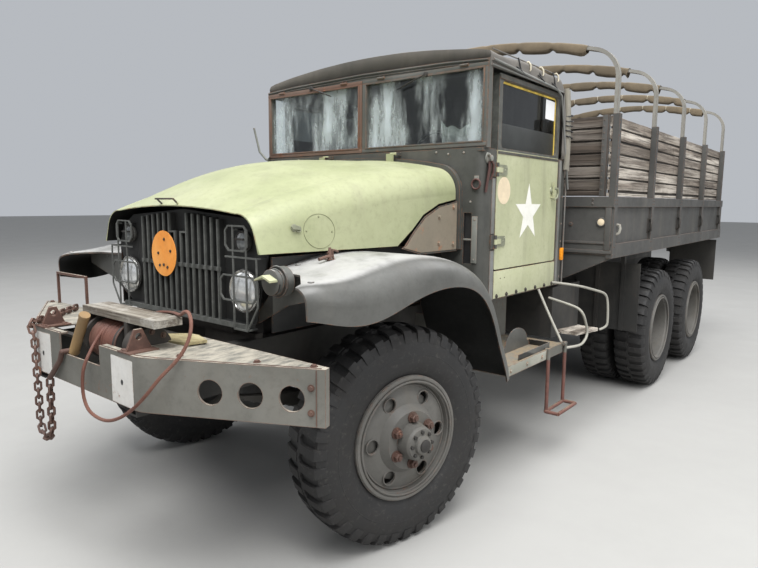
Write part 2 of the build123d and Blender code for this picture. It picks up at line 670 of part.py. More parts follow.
# Cab shell: cowl, sides, sills and back panel, open to the doors and under the soft top
door_gap_front_y = door_front_y - panel_gap
door_gap_rear_y = door_rear_y + panel_gap
side_skin = 36
with BuildPart() as cab_body:
    with BuildSketch(level(cab_bottom_z)):
        with Locations((0, (cab_front_y + cab_rear_y) / 2)):
            RectangleRounded(2 * cab_half_width, cab_rear_y - cab_front_y, 45)
    extrude(amount=belt_z - cab_bottom_z)
    with BuildSketch(level(cab_floor_z)):
        with Locations((0, (cab_front_y + cab_rear_y) / 2)):
            RectangleRounded(2 * (cab_half_width - side_skin), cab_rear_y - cab_front_y - 2 * cab_wall, 20)
    extrude(amount=belt_z - cab_floor_z, mode=Mode.SUBTRACT)
    # hollow below the floor plate, open underneath
    block((-cab_half_width + side_skin, cab_half_width - side_skin), (cab_front_y + cab_wall, cab_rear_y - cab_wall),
          (cab_bottom_z - 1, cab_floor_z - 12), Mode.SUBTRACT)
    # door openings
    block((-900, 900), (door_gap_front_y, door_gap_rear_y), (door_bottom_z - panel_gap, belt_z + 1), Mode.SUBTRACT)
    # cowl top between hood and windshield
    block((-cab_half_width + 1, cab_half_width - 1), (cab_front_y, 905), (belt_z - 10, windshield_bottom_z))
    # flange that the hood's rear edge meets
    with Locations((0, 0, 0)):
        add(loft([hood_outline((y, 742, 1300, 736, 1600, 622, 1764, 1822), 0) for y in (728 + panel_gap, cab_front_y)],
                 mode=Mode.PRIVATE))
        add(loft([hood_outline((y, 742, 1290, 736, 1600, 622, 1764, 1822), 26) for y in (720, cab_front_y)],
                 mode=Mode.PRIVATE), mode=Mode.SUBTRACT)
    for side in (1, -1):
        # recess of the cowl's air intake beside the hood
        block(both(752, 800, side), (cab_front_y - 1, cab_front_y + 14), (1220, 1500), Mode.SUBTRACT)
        # door hinge leaves, barrels and pins
        for z in hinge_z:
            block(both(cab_half_width - 1, hinge_x - 4, side), (hinge_pin_y - 46, hinge_pin_y - 10), (z, z + 76))
            for low in (z, z + 52 + run_gap):
                block(both(cab_half_width + 2, hinge_x - 3, side), (hinge_pin_y - 12, hinge_pin_y), (low, low + 23.7))
                rod((side * hinge_x, hinge_pin_y, low), (side * hinge_x, hinge_pin_y, low + 23.7), 9)
            rod((side * hinge_x, hinge_pin_y, z + 1), (side * hinge_x, hinge_pin_y, z + 75), 5)
        # hood hinge ears and pin
        x = side * hood_hinge_x
        for low in (x - 37, x + 25 + run_gap):
            block((low, low + 12), (hood_hinge_y - 9, cab_front_y + 2), (hood_hinge_z - 9, hood_hinge_z + 9))
        rod((x - 30, hood_hinge_y, hood_hinge_z), (x + 30, hood_hinge_y, hood_hinge_z), 5)
        # triangular side panel in the hood's cut-away
        with BuildSketch(beside(716 if side > 0 else -722)):
            with BuildLine():
                Polyline((240, 1328), (262, 1336), (345, 1414), (432, 1482), (566, 1536), (744, 1564), (744, 1290),
                         (400, 1290), close=True)
            make_face()
        extrude(amount=6)
finish(cab_body.part, "cab_body")

# Windshield frame with its two openings, and the flat panes in it
pane_x = (34, 842)
pane_z = (1886, 2262)
with BuildPart() as windshield_frame:
    with BuildSketch(across(windshield_y + windshield_frame_depth / 2)):
        with BuildLine():
            Polyline((-874, windshield_bottom_z), (-874, 2308), (-600, 2322), (0, windshield_top_z), (600, 2322),
                     (874, 2308), (874, windshield_bottom_z), close=True)
        make_face()
        for side in (1, -1):
            with Locations((side * (pane_x[0] + pane_x[1]) / 2, (pane_z[0] + pane_z[1]) / 2)):
                Rectangle(pane_x[1] - pane_x[0], pane_z[1] - pane_z[0], mode=Mode.SUBTRACT)
    extrude(amount=windshield_frame_depth)
finish(windshield_frame.part, "windshield_frame")

with BuildPart() as cab_glass:
    for side in (1, -1):
        block(both(pane_x[0] + seat_gap, pane_x[1] - seat_gap, side),
              (windshield_y - glass_thickness / 2, windshield_y + glass_thickness / 2),
              (pane_z[0] + seat_gap, pane_z[1] - seat_gap))
finish(cab_glass.part, "cab_glass")

# Doors, each with a window frame and a fixed pane
door_window_y = (door_front_y + 40, door_rear_y - 42)
door_window_z = (belt_z + 18, door_top_z - 34)
for name, side in sides:
    inner_x = side * (cab_half_width - door_thickness)
    outer_x = side * cab_half_width
    with BuildPart() as door:
        with BuildSketch(beside(min(inner_x, outer_x))):
            with Locations(((door_front_y + door_rear_y) / 2, (door_bottom_z + door_top_z) / 2)):
                RectangleRounded(door_rear_y - door_front_y, door_top_z - door_bottom_z, 14)
            with Locations((sum(door_window_y) / 2, sum(door_window_z) / 2)):
                RectangleRounded(door_window_y[1] - door_window_y[0], door_window_z[1] - door_window_z[0], 24,
                                 mode=Mode.SUBTRACT)
        extrude(amount=door_thickness)
        # pull handle
        block(both(cab_half_width - 1, cab_half_width + 22, side), (1655, 1667), (1592, 1604))
        block(both(cab_half_width + 12, cab_half_width + 24, side), (1655, 1667), (1590, 1690))
        for z in hinge_z:
            block(both(cab_half_width - 1, hinge_x - 4, side), (door_front_y, door_front_y + 60), (z + 24, z + 52))
            block(both(cab_half_width + 2, hinge_x - 4, side), (hinge_pin_y + 2, door_front_y + 1), (z + 24, z + 52))
            rod((side * hinge_x, hinge_pin_y, z + 24), (side * hinge_x, hinge_pin_y, z + 52), 9)
            rod((side * hinge_x, hinge_pin_y, z + 20), (side * hinge_x, hinge_pin_y, z + 56), 5 + run_gap, Mode.SUBTRACT)
    finish(door.part, f"door_{name}")
    with BuildPart() as door_glass:
        middle_x = side * (cab_half_width - door_thickness / 2)
        with BuildSketch(beside(middle_x - glass_thickness / 2)):
            with Locations((sum(door_window_y) / 2, sum(door_window_z) / 2)):
                RectangleRounded(door_window_y[1] - door_window_y[0] - 2 * seat_gap,
                                 door_window_z[1] - door_window_z[0] - 2 * seat_gap, 24 - seat_gap)
        extrude(amount=glass_thickness)
    finish(door_glass.part, f"door_glass_{name}")

# Soft cab top: crowned canvas from the windshield header back and down to the cab's rear
top_front_y = windshield_y - 8
top_rear_y = 1706
with BuildPart() as cab_top:
    def top_form(inset):
        """The canvas's outer form, or the space under it when inset."""
        with BuildSketch(beside(-900)) as profile:
            with BuildLine():
                Polyline((top_front_y + inset, belt_z - inset), (top_front_y + inset, 2420 - inset),
                         (1240, roof_top_z - inset), (top_rear_y - inset, 2440 - inset),
                         (cab_rear_y - 4 - inset, belt_z - inset), close=True)
            make_face()
        with BuildSketch(across(3000)) as crown:
            with BuildLine():
                x = cab_half_width + 16 - inset
                Line((-x, 1000), (-x, 2330 - inset))
                ThreePointArc((-x, 2330 - inset), (0, roof_top_z + 4 - inset), (x, 2330 - inset))
                Line((x, 2330 - inset), (x, 1000))
                Line((x, 1000), (-x, 1000))
            make_face()
        solid = extrude(profile.sketch, amount=1800, mode=Mode.PRIVATE)
        cross = extrude(crown.sketch, amount=3000, mode=Mode.PRIVATE)
        return solid & cross
    add(top_form(0))
    add(top_form(canvas_thickness), mode=Mode.SUBTRACT)
    # clear of the windshield frame, the doors and the cab below
    block((-900, 900), (top_front_y - 1, windshield_y + windshield_frame_depth / 2 + 2), (1700, windshield_top_z + seat_gap),
          Mode.SUBTRACT)
    block((-900, 900), (700, door_gap_rear_y + 4), (1700, door_top_z + panel_gap), Mode.SUBTRACT)
    block((-900, 900), (700, 2000), (1700, belt_z + seat_gap), Mode.SUBTRACT)
    block((-260, 260), (1700, 2000), (1990, 2180), Mode.SUBTRACT)
finish(cab_top.part, "cab_top")

# Cab interior: dashboard, steering column, seat bases and gearbox hump
wheel_centre = (420, 1150, 1822)
column_tilt = 50       # degrees from horizontal
column_axis = (0, cos(radians(column_tilt)), sin(radians(column_tilt)))


def along_column(distance):
    return tuple(c + distance * a for c, a in zip(wheel_centre, column_axis))


inner_x = cab_half_width - side_skin - seat_gap
with BuildPart() as cab_interior:
    with BuildSketch(beside(-inner_x + 22)):
        with BuildLine():
            Polyline((cab_front_y + cab_wall, 1560), (cab_front_y + cab_wall, belt_z - 12), (890, belt_z - 12),
                     (905, 1800), (880, 1600), close=True)
        make_face()
    extrude(amount=2 * (inner_x - 22))
    rod(along_column(-60), along_column(-530), 24)
    block((396, 444), (860, 950), (1585, 1625))
    block((-180, 180), (cab_front_y + cab_wall, 1300), (cab_floor_z, 1180))
    for x0, x1 in ((200, 660), (-760, 60)):
        block((x0, x1), (1330, 1800), (cab_floor_z, 1330))
        block((x0, x1), (1812, cab_rear_y - cab_wall), (cab_floor_z, 1760))
finish(cab_interior.part, "cab_interior")

with BuildPart() as seat_cushions:
    for x0, x1 in ((200, 660), (-760, 60)):
        block((x0, x1), (1320, 1800 - 12), (1330 + seat_gap, 1430))
        block((x0, x1), (1712, 1812 - seat_gap), (1440, 1790))
finish(seat_cushions.part, "seat_cushions")

steering_rim_radius = 228
steering_rim_wire = 11
with BuildPart() as steering_wheel:
    wheel_origin = (wheel_centre[0], datum_y + wheel_centre[1], wheel_centre[2])
    with BuildSketch(Plane(origin=wheel_origin, x_dir=(1, 0, 0), z_dir=(0, -column_axis[2], column_axis[1]))):
        with Locations((steering_rim_radius, 0)):
            RegularPolygon(steering_rim_wire, 8)
    revolve(axis=Axis(wheel_origin, column_axis))
    wheel_plane = Plane(origin=(wheel_centre[0], datum_y + wheel_centre[1], wheel_centre[2]),
                        x_dir=(1, 0, 0), z_dir=column_axis)
    with Locations(wheel_plane):
        Cylinder(38, 30)
        for angle in (0, 120, 240):
            with Locations(Location((0, 0, 0), (0, 0, angle + 90)) * Location((115, 0, 0))):
                Box(214, 16, 8)
    rod(along_column(-60 + run_gap), along_column(-10), 14)
finish(steering_wheel.part, "steering_wheel")

# Cargo bed: floor on sills, panelled sides with stakes and rails, and a front wall
bed_inner_x = 1104
sill_half = (380, 430)
with BuildPart() as cargo_bed:
    block((-half_width + 2, half_width - 2), (bed_front_y, bed_rear_y), (bed_floor_z - bed_floor_plate, bed_floor_z))
    for side in (1, -1):
        block(both(*sill_half, side), (bed_front_y + 40, bed_rear_y - 60), (bed_sill_z, bed_floor_z - bed_floor_plate))
        block(both(bed_inner_x, bed_inner_x + bed_wall, side), (bed_front_y, bed_rear_y), (bed_bottom_z, bed_rail_z))
        block(both(bed_inner_x - 10, half_width, side), (bed_front_y, bed_rear_y),
              (bed_rail_z - bed_rail_height, bed_rail_z))
        block(both(bed_inner_x, half_width, side), (bed_front_y, bed_rear_y), (bed_bottom_z, bed_bottom_z + 96))
        for i in range(post_count):
            y = first_post_y + i * (last_post_y - first_post_y) / (post_count - 1)
            block(both(bed_inner_x, half_width, side), (y - 30, y + 30), (bed_bottom_z, bed_rail_z))
    # front wall with its rail
    block((-half_width, half_width), (bed_front_y, bed_front_y + bed_wall), (bed_bottom_z + 20, bed_rail_z))
    block((-half_width, half_width), (bed_front_y - 12, bed_front_y + 40), (bed_rail_z - bed_rail_height, bed_rail_z))
    # cross sills, tapered towards the sides
    for i, y in enumerate(sill_y):
        with BuildSketch(across(y + sill_width)):
            with BuildLine():
                deep = 1024 if i == 0 else 1100
                Polyline((-half_width + 6, bed_bottom_z + 2), (-808, deep), (808, deep), (half_width - 6, bed_bottom_z + 2),
                         (half_width - 6, bed_floor_z - 4), (-half_width + 6, bed_floor_z - 4), close=True)
            make_face()
        extrude(amount=sill_width)
    # tailgate hinge lugs
    for x in (-820, 790):
        block((x, x + 30), (bed_rear_y - 5, bed_rear_y + 38), (1200, 1232))
        rod((x - 1, bed_rear_y + 22, 1216), (x + 31, bed_rear_y + 22, 1216), 10 + run_gap, Mode.SUBTRACT)
finish(cargo_bed.part, "cargo_bed")

# Tailgate, hinged at its foot on the bed's lugs
tailgate_hinge_y = bed_rear_y + 22
tailgate_hinge_z = 1216
tailgate_front_y = bed_rear_y + panel_gap
tailgate_half = half_width - 12
with BuildPart() as tailgate:
    block((-tailgate_half, tailgate_half), (tailgate_front_y, tailgate_front_y + bed_wall), (bed_floor_z - 4, bed_rail_z))
    block((-tailgate_half, tailgate_half), (tailgate_front_y, tailgate_front_y + 48), (bed_rail_z - 60, bed_rail_z))
    block((-tailgate_half, tailgate_half), (tailgate_front_y, tailgate_front_y + 48), (bed_floor_z - 4, bed_floor_z + 60))
    for x in (-700, -235, 235, 700):
        block((x - 30, x + 30), (tailgate_front_y, tailgate_front_y + 48), (bed_floor_z, bed_rail_z))
    for x in (-868, -788, 758, 838):
        block((x, x + 30), (tailgate_front_y, tailgate_front_y + 30), (tailgate_hinge_z, bed_floor_z))
        rod((x, tailgate_hinge_y, tailgate_hinge_z), (x + 30, tailgate_hinge_y, tailgate_hinge_z), 18)
    for x in (-868, 758):
        rod((x + 30 - 1, tailgate_hinge_y, tailgate_hinge_z), (x + 81, tailgate_hinge_y, tailgate_hinge_z), 10)
finish(tailgate.part, "tailgate")

# Cargo rack: steel posts on the bed's rails, boards inside them, and a boarded front rack
post_outer_x = half_width - 2
post_inner_x = post_outer_x - post_depth
board_outer_x = post_inner_x - seat_gap
rack_bottom_z = bed_rail_z + 44
with BuildPart() as rack_posts:
    for side in (1, -1):
        for i in range(post_count):
            y = first_post_y + i * (last_post_y - first_post_y) / (post_count - 1)
            block(both(post_inner_x, post_outer_x, side), (y - post_width / 2, y + post_width / 2), (bed_rail_z, rack_top_z))
    for x in (-380, 380):
        block((x - 23, x + 23), (bed_front_y - 10, bed_front_y + 26), (bed_rail_z, rack_top_z + 20))
finish(rack_posts.part, "rack_posts")

with BuildPart() as rack_boards:
    for i in range(board_count):
        z = rack_bottom_z + i * board_pitch
        for side in (1, -1):
            block(both(board_outer_x - board_thickness, board_outer_x, side),
                  (first_post_y - 8, last_post_y + 60), (z, z + board_height))
        block((-board_outer_x + 60, board_outer_x - 60), (bed_front_y + 26 + seat_gap, bed_front_y + 26 + board_thickness),
              (z, z + board_height))
finish(rack_boards.part, "rack_boards")

# Bows over the bed, one on each pair of posts
bow_thickness = 24
bow_width = 46
bow_side_x = post_outer_x - 20
bow_corner = (965, 2594)             # where the flat crown meets the tighter arc to the side
bow_crown_z = 2724
bow_rise = bow_crown_z - bow_corner[1]
bow_crown_radius = (bow_corner[0] ** 2 + bow_rise ** 2) / (2 * bow_rise)
bow_lean = asin(bow_corner[0] / bow_crown_radius)
bow_side_radius = (bow_side_x - bow_corner[0]) / (1 - sin(bow_lean))
bow_bend = (bow_side_x - bow_side_radius, bow_corner[1] - bow_side_radius * cos(bow_lean))


def bow_arch(inset):
    """Closed sketch under the bow's arch, its outer line moved in by inset and its feet on the posts."""
    side_x = bow_side_x - inset
    radius = bow_side_radius - inset
    half_turn = (pi / 2 - bow_lean) / 2
    middle = (bow_bend[0] + radius * cos(half_turn), bow_bend[1] + radius * sin(half_turn))
    corner = (bow_corner[0] - inset * sin(bow_lean), bow_corner[1] - inset * cos(bow_lean))
    with BuildSketch(Plane.XZ) as arch:
        with BuildLine():
            Line((side_x, rack_top_z), (side_x, bow_bend[1]))
            ThreePointArc((side_x, bow_bend[1]), middle, corner)
            ThreePointArc(corner, (0, bow_crown_z - inset), (-corner[0], corner[1]))
            ThreePointArc((-corner[0], corner[1]), (-middle[0], middle[1]), (-side_x, bow_bend[1]))
            Line((-side_x, bow_bend[1]), (-side_x, rack_top_z))
            Line((-side_x, rack_top_z), (side_x, rack_top_z))
        make_face()
    return arch.sketch


def bow_band(thickness, grow, reach):
    """The bow's arch as a band of the given thickness, cut off at the sides beyond reach."""
    with BuildSketch(Plane.XZ) as band:
        add(bow_arch(-grow))
        add(bow_arch(thickness - grow), mode=Mode.SUBTRACT)
        if reach:
            with Locations((0, 2600)):
                Rectangle(2 * reach, 600, mode=Mode.INTERSECT)
    return band.sketch


with BuildPart() as bows:
    for i in range(post_count):
        y = first_post_y + i * (last_post_y - first_post_y) / (post_count - 1)
        with Locations((0, datum_y + y + bow_width / 2, 0)):
            add(extrude(bow_band(bow_thickness, 0, 0), amount=bow_width, mode=Mode.PRIVATE))
finish(bows.part, "bows")

sleeve_wall = 8
with BuildPart() as bow_sleeves:
    for i in range(post_count):
        y = first_post_y + i * (last_post_y - first_post_y) / (post_count - 1)
        with Locations((0, datum_y + y + bow_width / 2 + sleeve_wall, 0)):
            add(extrude(bow_band(bow_thickness + 2 * sleeve_wall, sleeve_wall, 900),
                        amount=bow_width + 2 * sleeve_wall, mode=Mode.PRIVATE))
        with Locations((0, datum_y + y + bow_width / 2 + seat_gap, 0)):
            add(extrude(bow_band(bow_thickness + 2 * seat_gap, seat_gap, 901), amount=bow_width + 2 * seat_gap,
                        mode=Mode.PRIVATE), mode=Mode.SUBTRACT)
finish(bow_sleeves.part, "bow_sleeves")

# Splash panels ahead of the duals and mud flaps behind them
with BuildPart() as splash_panels:
    for side in (1, -1):
        y = sill_y[1] + sill_width
        block(both(640, half_width - 6, side), (y + 37, y + 43), (560, 1098))
        for x in (800, 1000):
            block(both(x, x + 30, side), (y + 25, y + 37), (560, 1098))
            block(both(x, x + 30, side), (y, y + 43), (1090, 1180))
        block(both(640, half_width - 20, side), (sill_y[-1] - 8, sill_y[-1]), (700, 1160))
finish(splash_panels.part, "splash_panels")

# Steps under each door, on brackets from the frame, and a guard of bent tube on the left
step_y = (766, 1505)
step_z = (622, 682)
step_inner_x = 640
step_outer_x = 1050
with BuildPart() as cab_steps:
    for side in (1, -1):
        block(both(step_inner_x, step_outer_x, side), step_y, (step_z[1] - 6, step_z[1]))
        block(both(step_outer_x - 6, step_outer_x, side), step_y, step_z)
        block(both(step_inner_x, step_inner_x + 8, side), step_y, (step_z[0], 1000))
        for y in (step_y[0], step_y[1] - 8):
            block(both(rail_outer_x + 0.2, step_outer_x, side), (y, y + 8), (step_z[0], step_z[1]))
            block(both(rail_outer_x + 0.2, step_inner_x + 8, side), (y, y + 8), (step_z[0], 900))
        # stirrup step hanging from the platform's rear end
        for y in (1270, 1520):
            rod((side * (step_outer_x + 10), y, 690), (side * (step_outer_x + 10), y, 300), 11)
        rod((side * (step_outer_x + 10), 1260, 300), (side * (step_outer_x + 10), 1530, 300), 11)
        rod((side * (step_outer_x + 90), 1260, 300), (side * (step_outer_x + 90), 1530, 300), 11)
        for y in (1260, 1530):
            rod((side * (step_outer_x + 10), y, 300), (side * (step_outer_x + 90), y, 300), 11)
        rod((side * (step_outer_x - 10), 1270, 680), (side * (step_outer_x + 16), 1270, 680), 11)
        rod((side * (step_outer_x - 10), 1500, 680), (side * (step_outer_x + 16), 1500, 680), 11)
        rod((side * (step_outer_x + 10), 1490, 680), (side * (step_outer_x + 10), 1530, 680), 11)
finish(cab_steps.part, "cab_steps")

# Fuel tank on the right and stowage box on the left, strapped beside the frame
with BuildPart() as fuel_tank:
    with BuildSketch(across(2650)):
        with Locations((-840, 800)):
            RectangleRounded(380, 400, 110)
    extrude(amount=900)
    for y in (1850, 2500):
        block((-1030, -rail_outer_x - 0.2), (y, y + 40), (592, 604))
        block((-660, -rail_outer_x - 0.2), (y, y + 40), (600, 900))
finish(fuel_tank.part, "fuel_tank")

with BuildPart() as stowage_box:
    block((rail_outer_x + 0.2, 860), (1760, 2240), (640, 990))
finish(stowage_box.part, "stowage_box")

# Lamps: headlamps and markers before the grille, blackout lamp on the left fender, tail lamps
head_lamp = (464, 1176)
marker_lamp = (459, 1384)
lamp_back_y = grille_back_y - 0.2
# columns: distance ahead of the panel, radius, as shares of the lamp's depth and radius
lamp_profile = [(0, 0.82), (0.35, 1.0), (0.62, 1.0), (0.66, 0.9), (0.86, 0.62), (1.0, 0.0)]
blackout_lamp = (712, 1241)
blackout_radius = 60


def lamp(x, z, radius, depth):
    """A lamp facing forward: body, bezel ring and domed lens in one turned form."""
    middle = (x, datum_y + lamp_back_y, z)
    with BuildSketch(Plane(origin=middle, x_dir=(1, 0, 0), z_dir=(0, 0, 1))) as half:
        Polygon((0, 0), *[(share * radius, -distance * depth) for distance, share in lamp_profile], align=None)
    return revolve(half.sketch, axis=Axis(middle, (0, 1, 0)), mode=Mode.PRIVATE)


with BuildPart() as lamps:
    for side in (1, -1):
        add(lamp(side * head_lamp[0], head_lamp[1], 92, 44))
        add(lamp(side * marker_lamp[0], marker_lamp[1], 44, 38))
        rod((side * 640, bed_rear_y - 58, 1040), (side * 640, bed_rear_y + 10, 1040), 45)
        block(both(600, 680, side), (bed_rear_y - 66, bed_rear_y - 57), (1000, 1099.8))
    # blackout lamp on the nose panel, its drum stepped and its visor over the slit
    x, z = blackout_lamp
    rod((x, grille_y + 23.8, z), (x, grille_y - 5, z), 14)
    rod((x, grille_y - 2, z), (x, grille_y - 40, z), blackout_radius)
    rod((x, grille_y - 30, z), (x, grille_y - 72, z), blackout_radius - 10)
    with BuildSketch(across(grille_y - 70)):
        Polygon((x - 44, z + 6), (x, z + 26), (x + 44, z + 6), (x + 44, z + 11), (x, z + 31), (x - 44, z + 11), align=None)
    extrude(amount=48)
finish(lamps.part, "lamps")

# Front driving axle with an offset differential, and its springs
banjo_x = -150
banjo_radius = 150
transfer_case_y = (1780, 2120)


def drive_line(axle_y, case_point, nose_length):
    """Axle centre, pinion nose's end and transfer case's output, in one line at the banjo's x."""
    dy = case_point[0] - axle_y
    dz = case_point[1] - axle_z
    share = nose_length / sqrt(dy ** 2 + dz ** 2)
    return [(banjo_x, axle_y, axle_z), (banjo_x, axle_y + share * dy, axle_z + share * dz),
            (banjo_x, case_point[0], case_point[1])]


pillow_y = bogie_front_y + 40
pillow_z = axle_z + 210
front_drive = drive_line(kingpin_y, (transfer_case_y[0] + 2, 690), 290)
forward_drive = drive_line(bogie_y[0], (transfer_case_y[1] - 2, 655), 240)
rearmost_drive = drive_line(bogie_y[1], (pillow_y, pillow_z), 240)
tube_radius = 50
pad_z = axle_z + tube_radius + 10
spring_x = 398
spring_width = 62
with BuildPart() as front_axle:
    rod((-kingpin_x + 60, kingpin_y, axle_z), (kingpin_x - 60, kingpin_y, axle_z), tube_radius)
    for side in (1, -1):
        with Locations((side * kingpin_x, datum_y + kingpin_y, axle_z)):
            add(kingpin_ball(knuckle_ball_radius))
        block(both(spring_x - 36, spring_x + 36, side), (kingpin_y - 60, kingpin_y + 60), (axle_z, pad_z))
    with BuildSketch(Plane(origin=(banjo_x, datum_y + kingpin_y, axle_z), x_dir=(1, 0, 0), z_dir=(0, -1, 0))):
        with BuildLine():
            Polyline((-200, 0), (-200, tube_radius - 2), (-120, 118), (-50, banjo_radius), (50, banjo_radius),
                     (120, 118), (200, tube_radius - 2), (200, 0), close=True)
        make_face()
    revolve(axis=Axis((banjo_x, datum_y + kingpin_y, axle_z), (1, 0, 0)))
    rod(front_drive[0], front_drive[1], 60)
finish(front_axle.part, "front_axle")

leaf_thickness = 9


def leaf_pack(x, y, seat_z, main_half, leaves, radius, upward):
    """A pack of leaves on a seat: arcs of one curvature, the main leaf longest, curving up or down."""
    centre_z = seat_z + radius if upward else seat_z + leaves * leaf_thickness - radius
    with BuildSketch(beside(x)) as pack:
        for i in range(leaves):
            order = i if upward else leaves - 1 - i
            half = main_half * (0.3 + 0.7 * (order + 1) / leaves)
            if upward:
                outer = radius - i * leaf_thickness
                mid_angle = -90
            else:
                outer = radius - (leaves - 1 - i) * leaf_thickness
                mid_angle = 90
            swing = degrees(asin(half / outer))
            with BuildLine():
                a = CenterArc((y, centre_z), outer, mid_angle - swing, 2 * swing)
                b = CenterArc((y, centre_z), outer - leaf_thickness, mid_angle - swing, 2 * swing)
                Line(a @ 0, b @ 0)
                Line(a @ 1, b @ 1)
            make_face()
    return pack.sketch


rear_tube_radius = 56
rear_spring_x = 500
rear_spring_radius = 1900
rear_spring_seat_z = 690
rear_leaf_count = 9
rear_spring_half = bogie_spacing / 2 - 10
rear_leaf_inner = rear_spring_radius - rear_leaf_count * leaf_thickness
rear_leaf_end = rear_spring_half * rear_leaf_inner / (rear_leaf_inner + leaf_thickness)
rear_pad_z = rear_spring_seat_z - rear_leaf_inner + sqrt(rear_leaf_inner ** 2 - rear_leaf_end ** 2) - seat_gap
with BuildPart() as leaf_springs:
    for side in (1, -1):
        inner = side * spring_x - spring_width / 2
        extrude(leaf_pack(inner, kingpin_y, pad_z + seat_gap, 610, 8, 2400, True), amount=spring_width)
        for y in (kingpin_y - 604, kingpin_y + 604):
            block((inner, inner + spring_width), (y - 16, y + 16), (706, rail_bottom_z - 0.2))
        inner = side * rear_spring_x - 37
        extrude(leaf_pack(inner, trunnion_y, rear_spring_seat_z, rear_spring_half, rear_leaf_count,
                          rear_spring_radius, False), amount=74)
        block((inner, inner + 74), (trunnion_y - 70, trunnion_y + 70), (640, 700))
    for side in (1, -1):
        rod((side * (rail_outer_x + 2), trunnion_y, 640), (side * 560, trunnion_y, 640), 44)
        block(both(rail_outer_x + 0.2, rail_outer_x + 12, side), (trunnion_y - 160, trunnion_y + 160), (560, 930))
finish(leaf_springs.part, "leaf_springs")

with BuildPart() as rear_axles:
    for y in bogie_y:
        rod((-rear_wheel_x + 245, y, axle_z), (rear_wheel_x - 245, y, axle_z), rear_tube_radius)
        rod((-rear_wheel_x - 60, y, axle_z), (rear_wheel_x + 60, y, axle_z), rear_spindle_radius)
        for side in (1, -1):
            rod((side * (rear_wheel_x - 245), y, axle_z), (side * (rear_wheel_x - 232), y, axle_z), drum_radius - 4)
            block(both(rear_spring_x - 42, rear_spring_x + 42, side), (y - 60, y + 60), (axle_z, rear_pad_z))
        with BuildSketch(Plane(origin=(banjo_x, datum_y + y, axle_z), x_dir=(1, 0, 0), z_dir=(0, -1, 0))):
            with BuildLine():
                Polyline((-230, 0), (-230, rear_tube_radius - 2), (-140, 124), (-55, banjo_radius + 10),
                         (55, banjo_radius + 10), (140, 124), (230, rear_tube_radius - 2), (230, 0), close=True)
            make_face()
        revolve(axis=Axis((banjo_x, datum_y + y, axle_z), (1, 0, 0)))
    for nose in (forward_drive, rearmost_drive):
        rod(nose[0], nose[1], 60)
    # pillow block on the forward axle for the shaft to the rearmost one
    block((banjo_x - 50, banjo_x + 50), (pillow_y - 90, pillow_y - 20), (axle_z + 100, pillow_z + 36))
finish(rear_axles.part, "rear_axles")

# Transfer case and propeller shafts
with BuildPart() as driveline:
    block((-230, 150), transfer_case_y, (600, rail_top_z - 10))
    block((-rail_outer_x + rail_web + 0.2, rail_outer_x - rail_web - 0.2), (1880, 1960), (800, 860))
    for line in (front_drive, forward_drive, rearmost_drive):
        rod(line[1], line[2], 32)
    rod((banjo_x, transfer_case_y[1] - 2, 745), (banjo_x, pillow_y - 91.5, pillow_z), 32)
finish(driveline.part, "driveline")

with BuildPart() as exhaust:
    rod((290, 700, 655), (290, 1310, 655), 24)
    rod((290, 1300, 655), (290, 1780, 655), 72)
    rod((290, 1770, 655), (290, 2640, 655), 24)
    block((280, 300), (1700, 1708), (700, rail_bottom_z + 19.8))
finish(exhaust.part, "exhaust")

# Recovery chain over the right end of the bumper, with its hook
chain_wire = 9
link_half_length = 26
link_half_width = 17


def chain_link(middle, along, flat):
    """One link as an eight-cornered ring, its long axis along one direction and lying flat to another."""
    with BuildSketch(Plane(origin=middle, x_dir=along, z_dir=flat).offset(-chain_wire / 2)) as ring:
        for inset, corner, mode in ((0, 10, Mode.ADD), (chain_wire, 5, Mode.SUBTRACT)):
            a = link_half_length - inset
            b = link_half_width - inset
            Polygon((a, b - corner), (a - corner, b), (corner - a, b), (-a, b - corner),
                    (-a, corner - b), (corner - a, -b), (a - corner, -b), (a, corner - b), align=None, mode=mode)
    return extrude(ring.sketch, amount=chain_wire, mode=Mode.PRIVATE)


# The chain lies on the right top plate, drops over the front edge and loops back up to its hook
plate_chain_z = bumper_top_z + link_half_width + seat_gap
hang_y = bumper_front_y - link_half_width - 1.5
chain_loop_radius = 60
chain_loop_middle = (-325, 540)
chain_course = [(-672, -716, plate_chain_z), (-560, -850, plate_chain_z), (-446, -985, plate_chain_z + 2),
                (-415, -1034, plate_chain_z + 6), (-402, hang_y - 8, plate_chain_z - 9),
                (-390, hang_y, plate_chain_z - 64)]
for angle in (180, 210, 240, 270, 300, 330, 360):
    chain_course.append((chain_loop_middle[0] + chain_loop_radius * cos(radians(angle)), hang_y,
                         chain_loop_middle[1] + chain_loop_radius * sin(radians(angle))))
chain_course.append((-252, hang_y, 790))
chain_pitch = 2 * (link_half_length - chain_wire) - 0.6


def walk(points, pitch):
    """Points at equal steps along a line of straight runs."""
    stops = [points[0]]
    left = pitch
    for start, end in zip(points[:-1], points[1:]):
        run = end - start
        while left <= run.length:
            stops.append(start + run * (left / run.length))
            left += pitch
        left -= run.length
    return stops


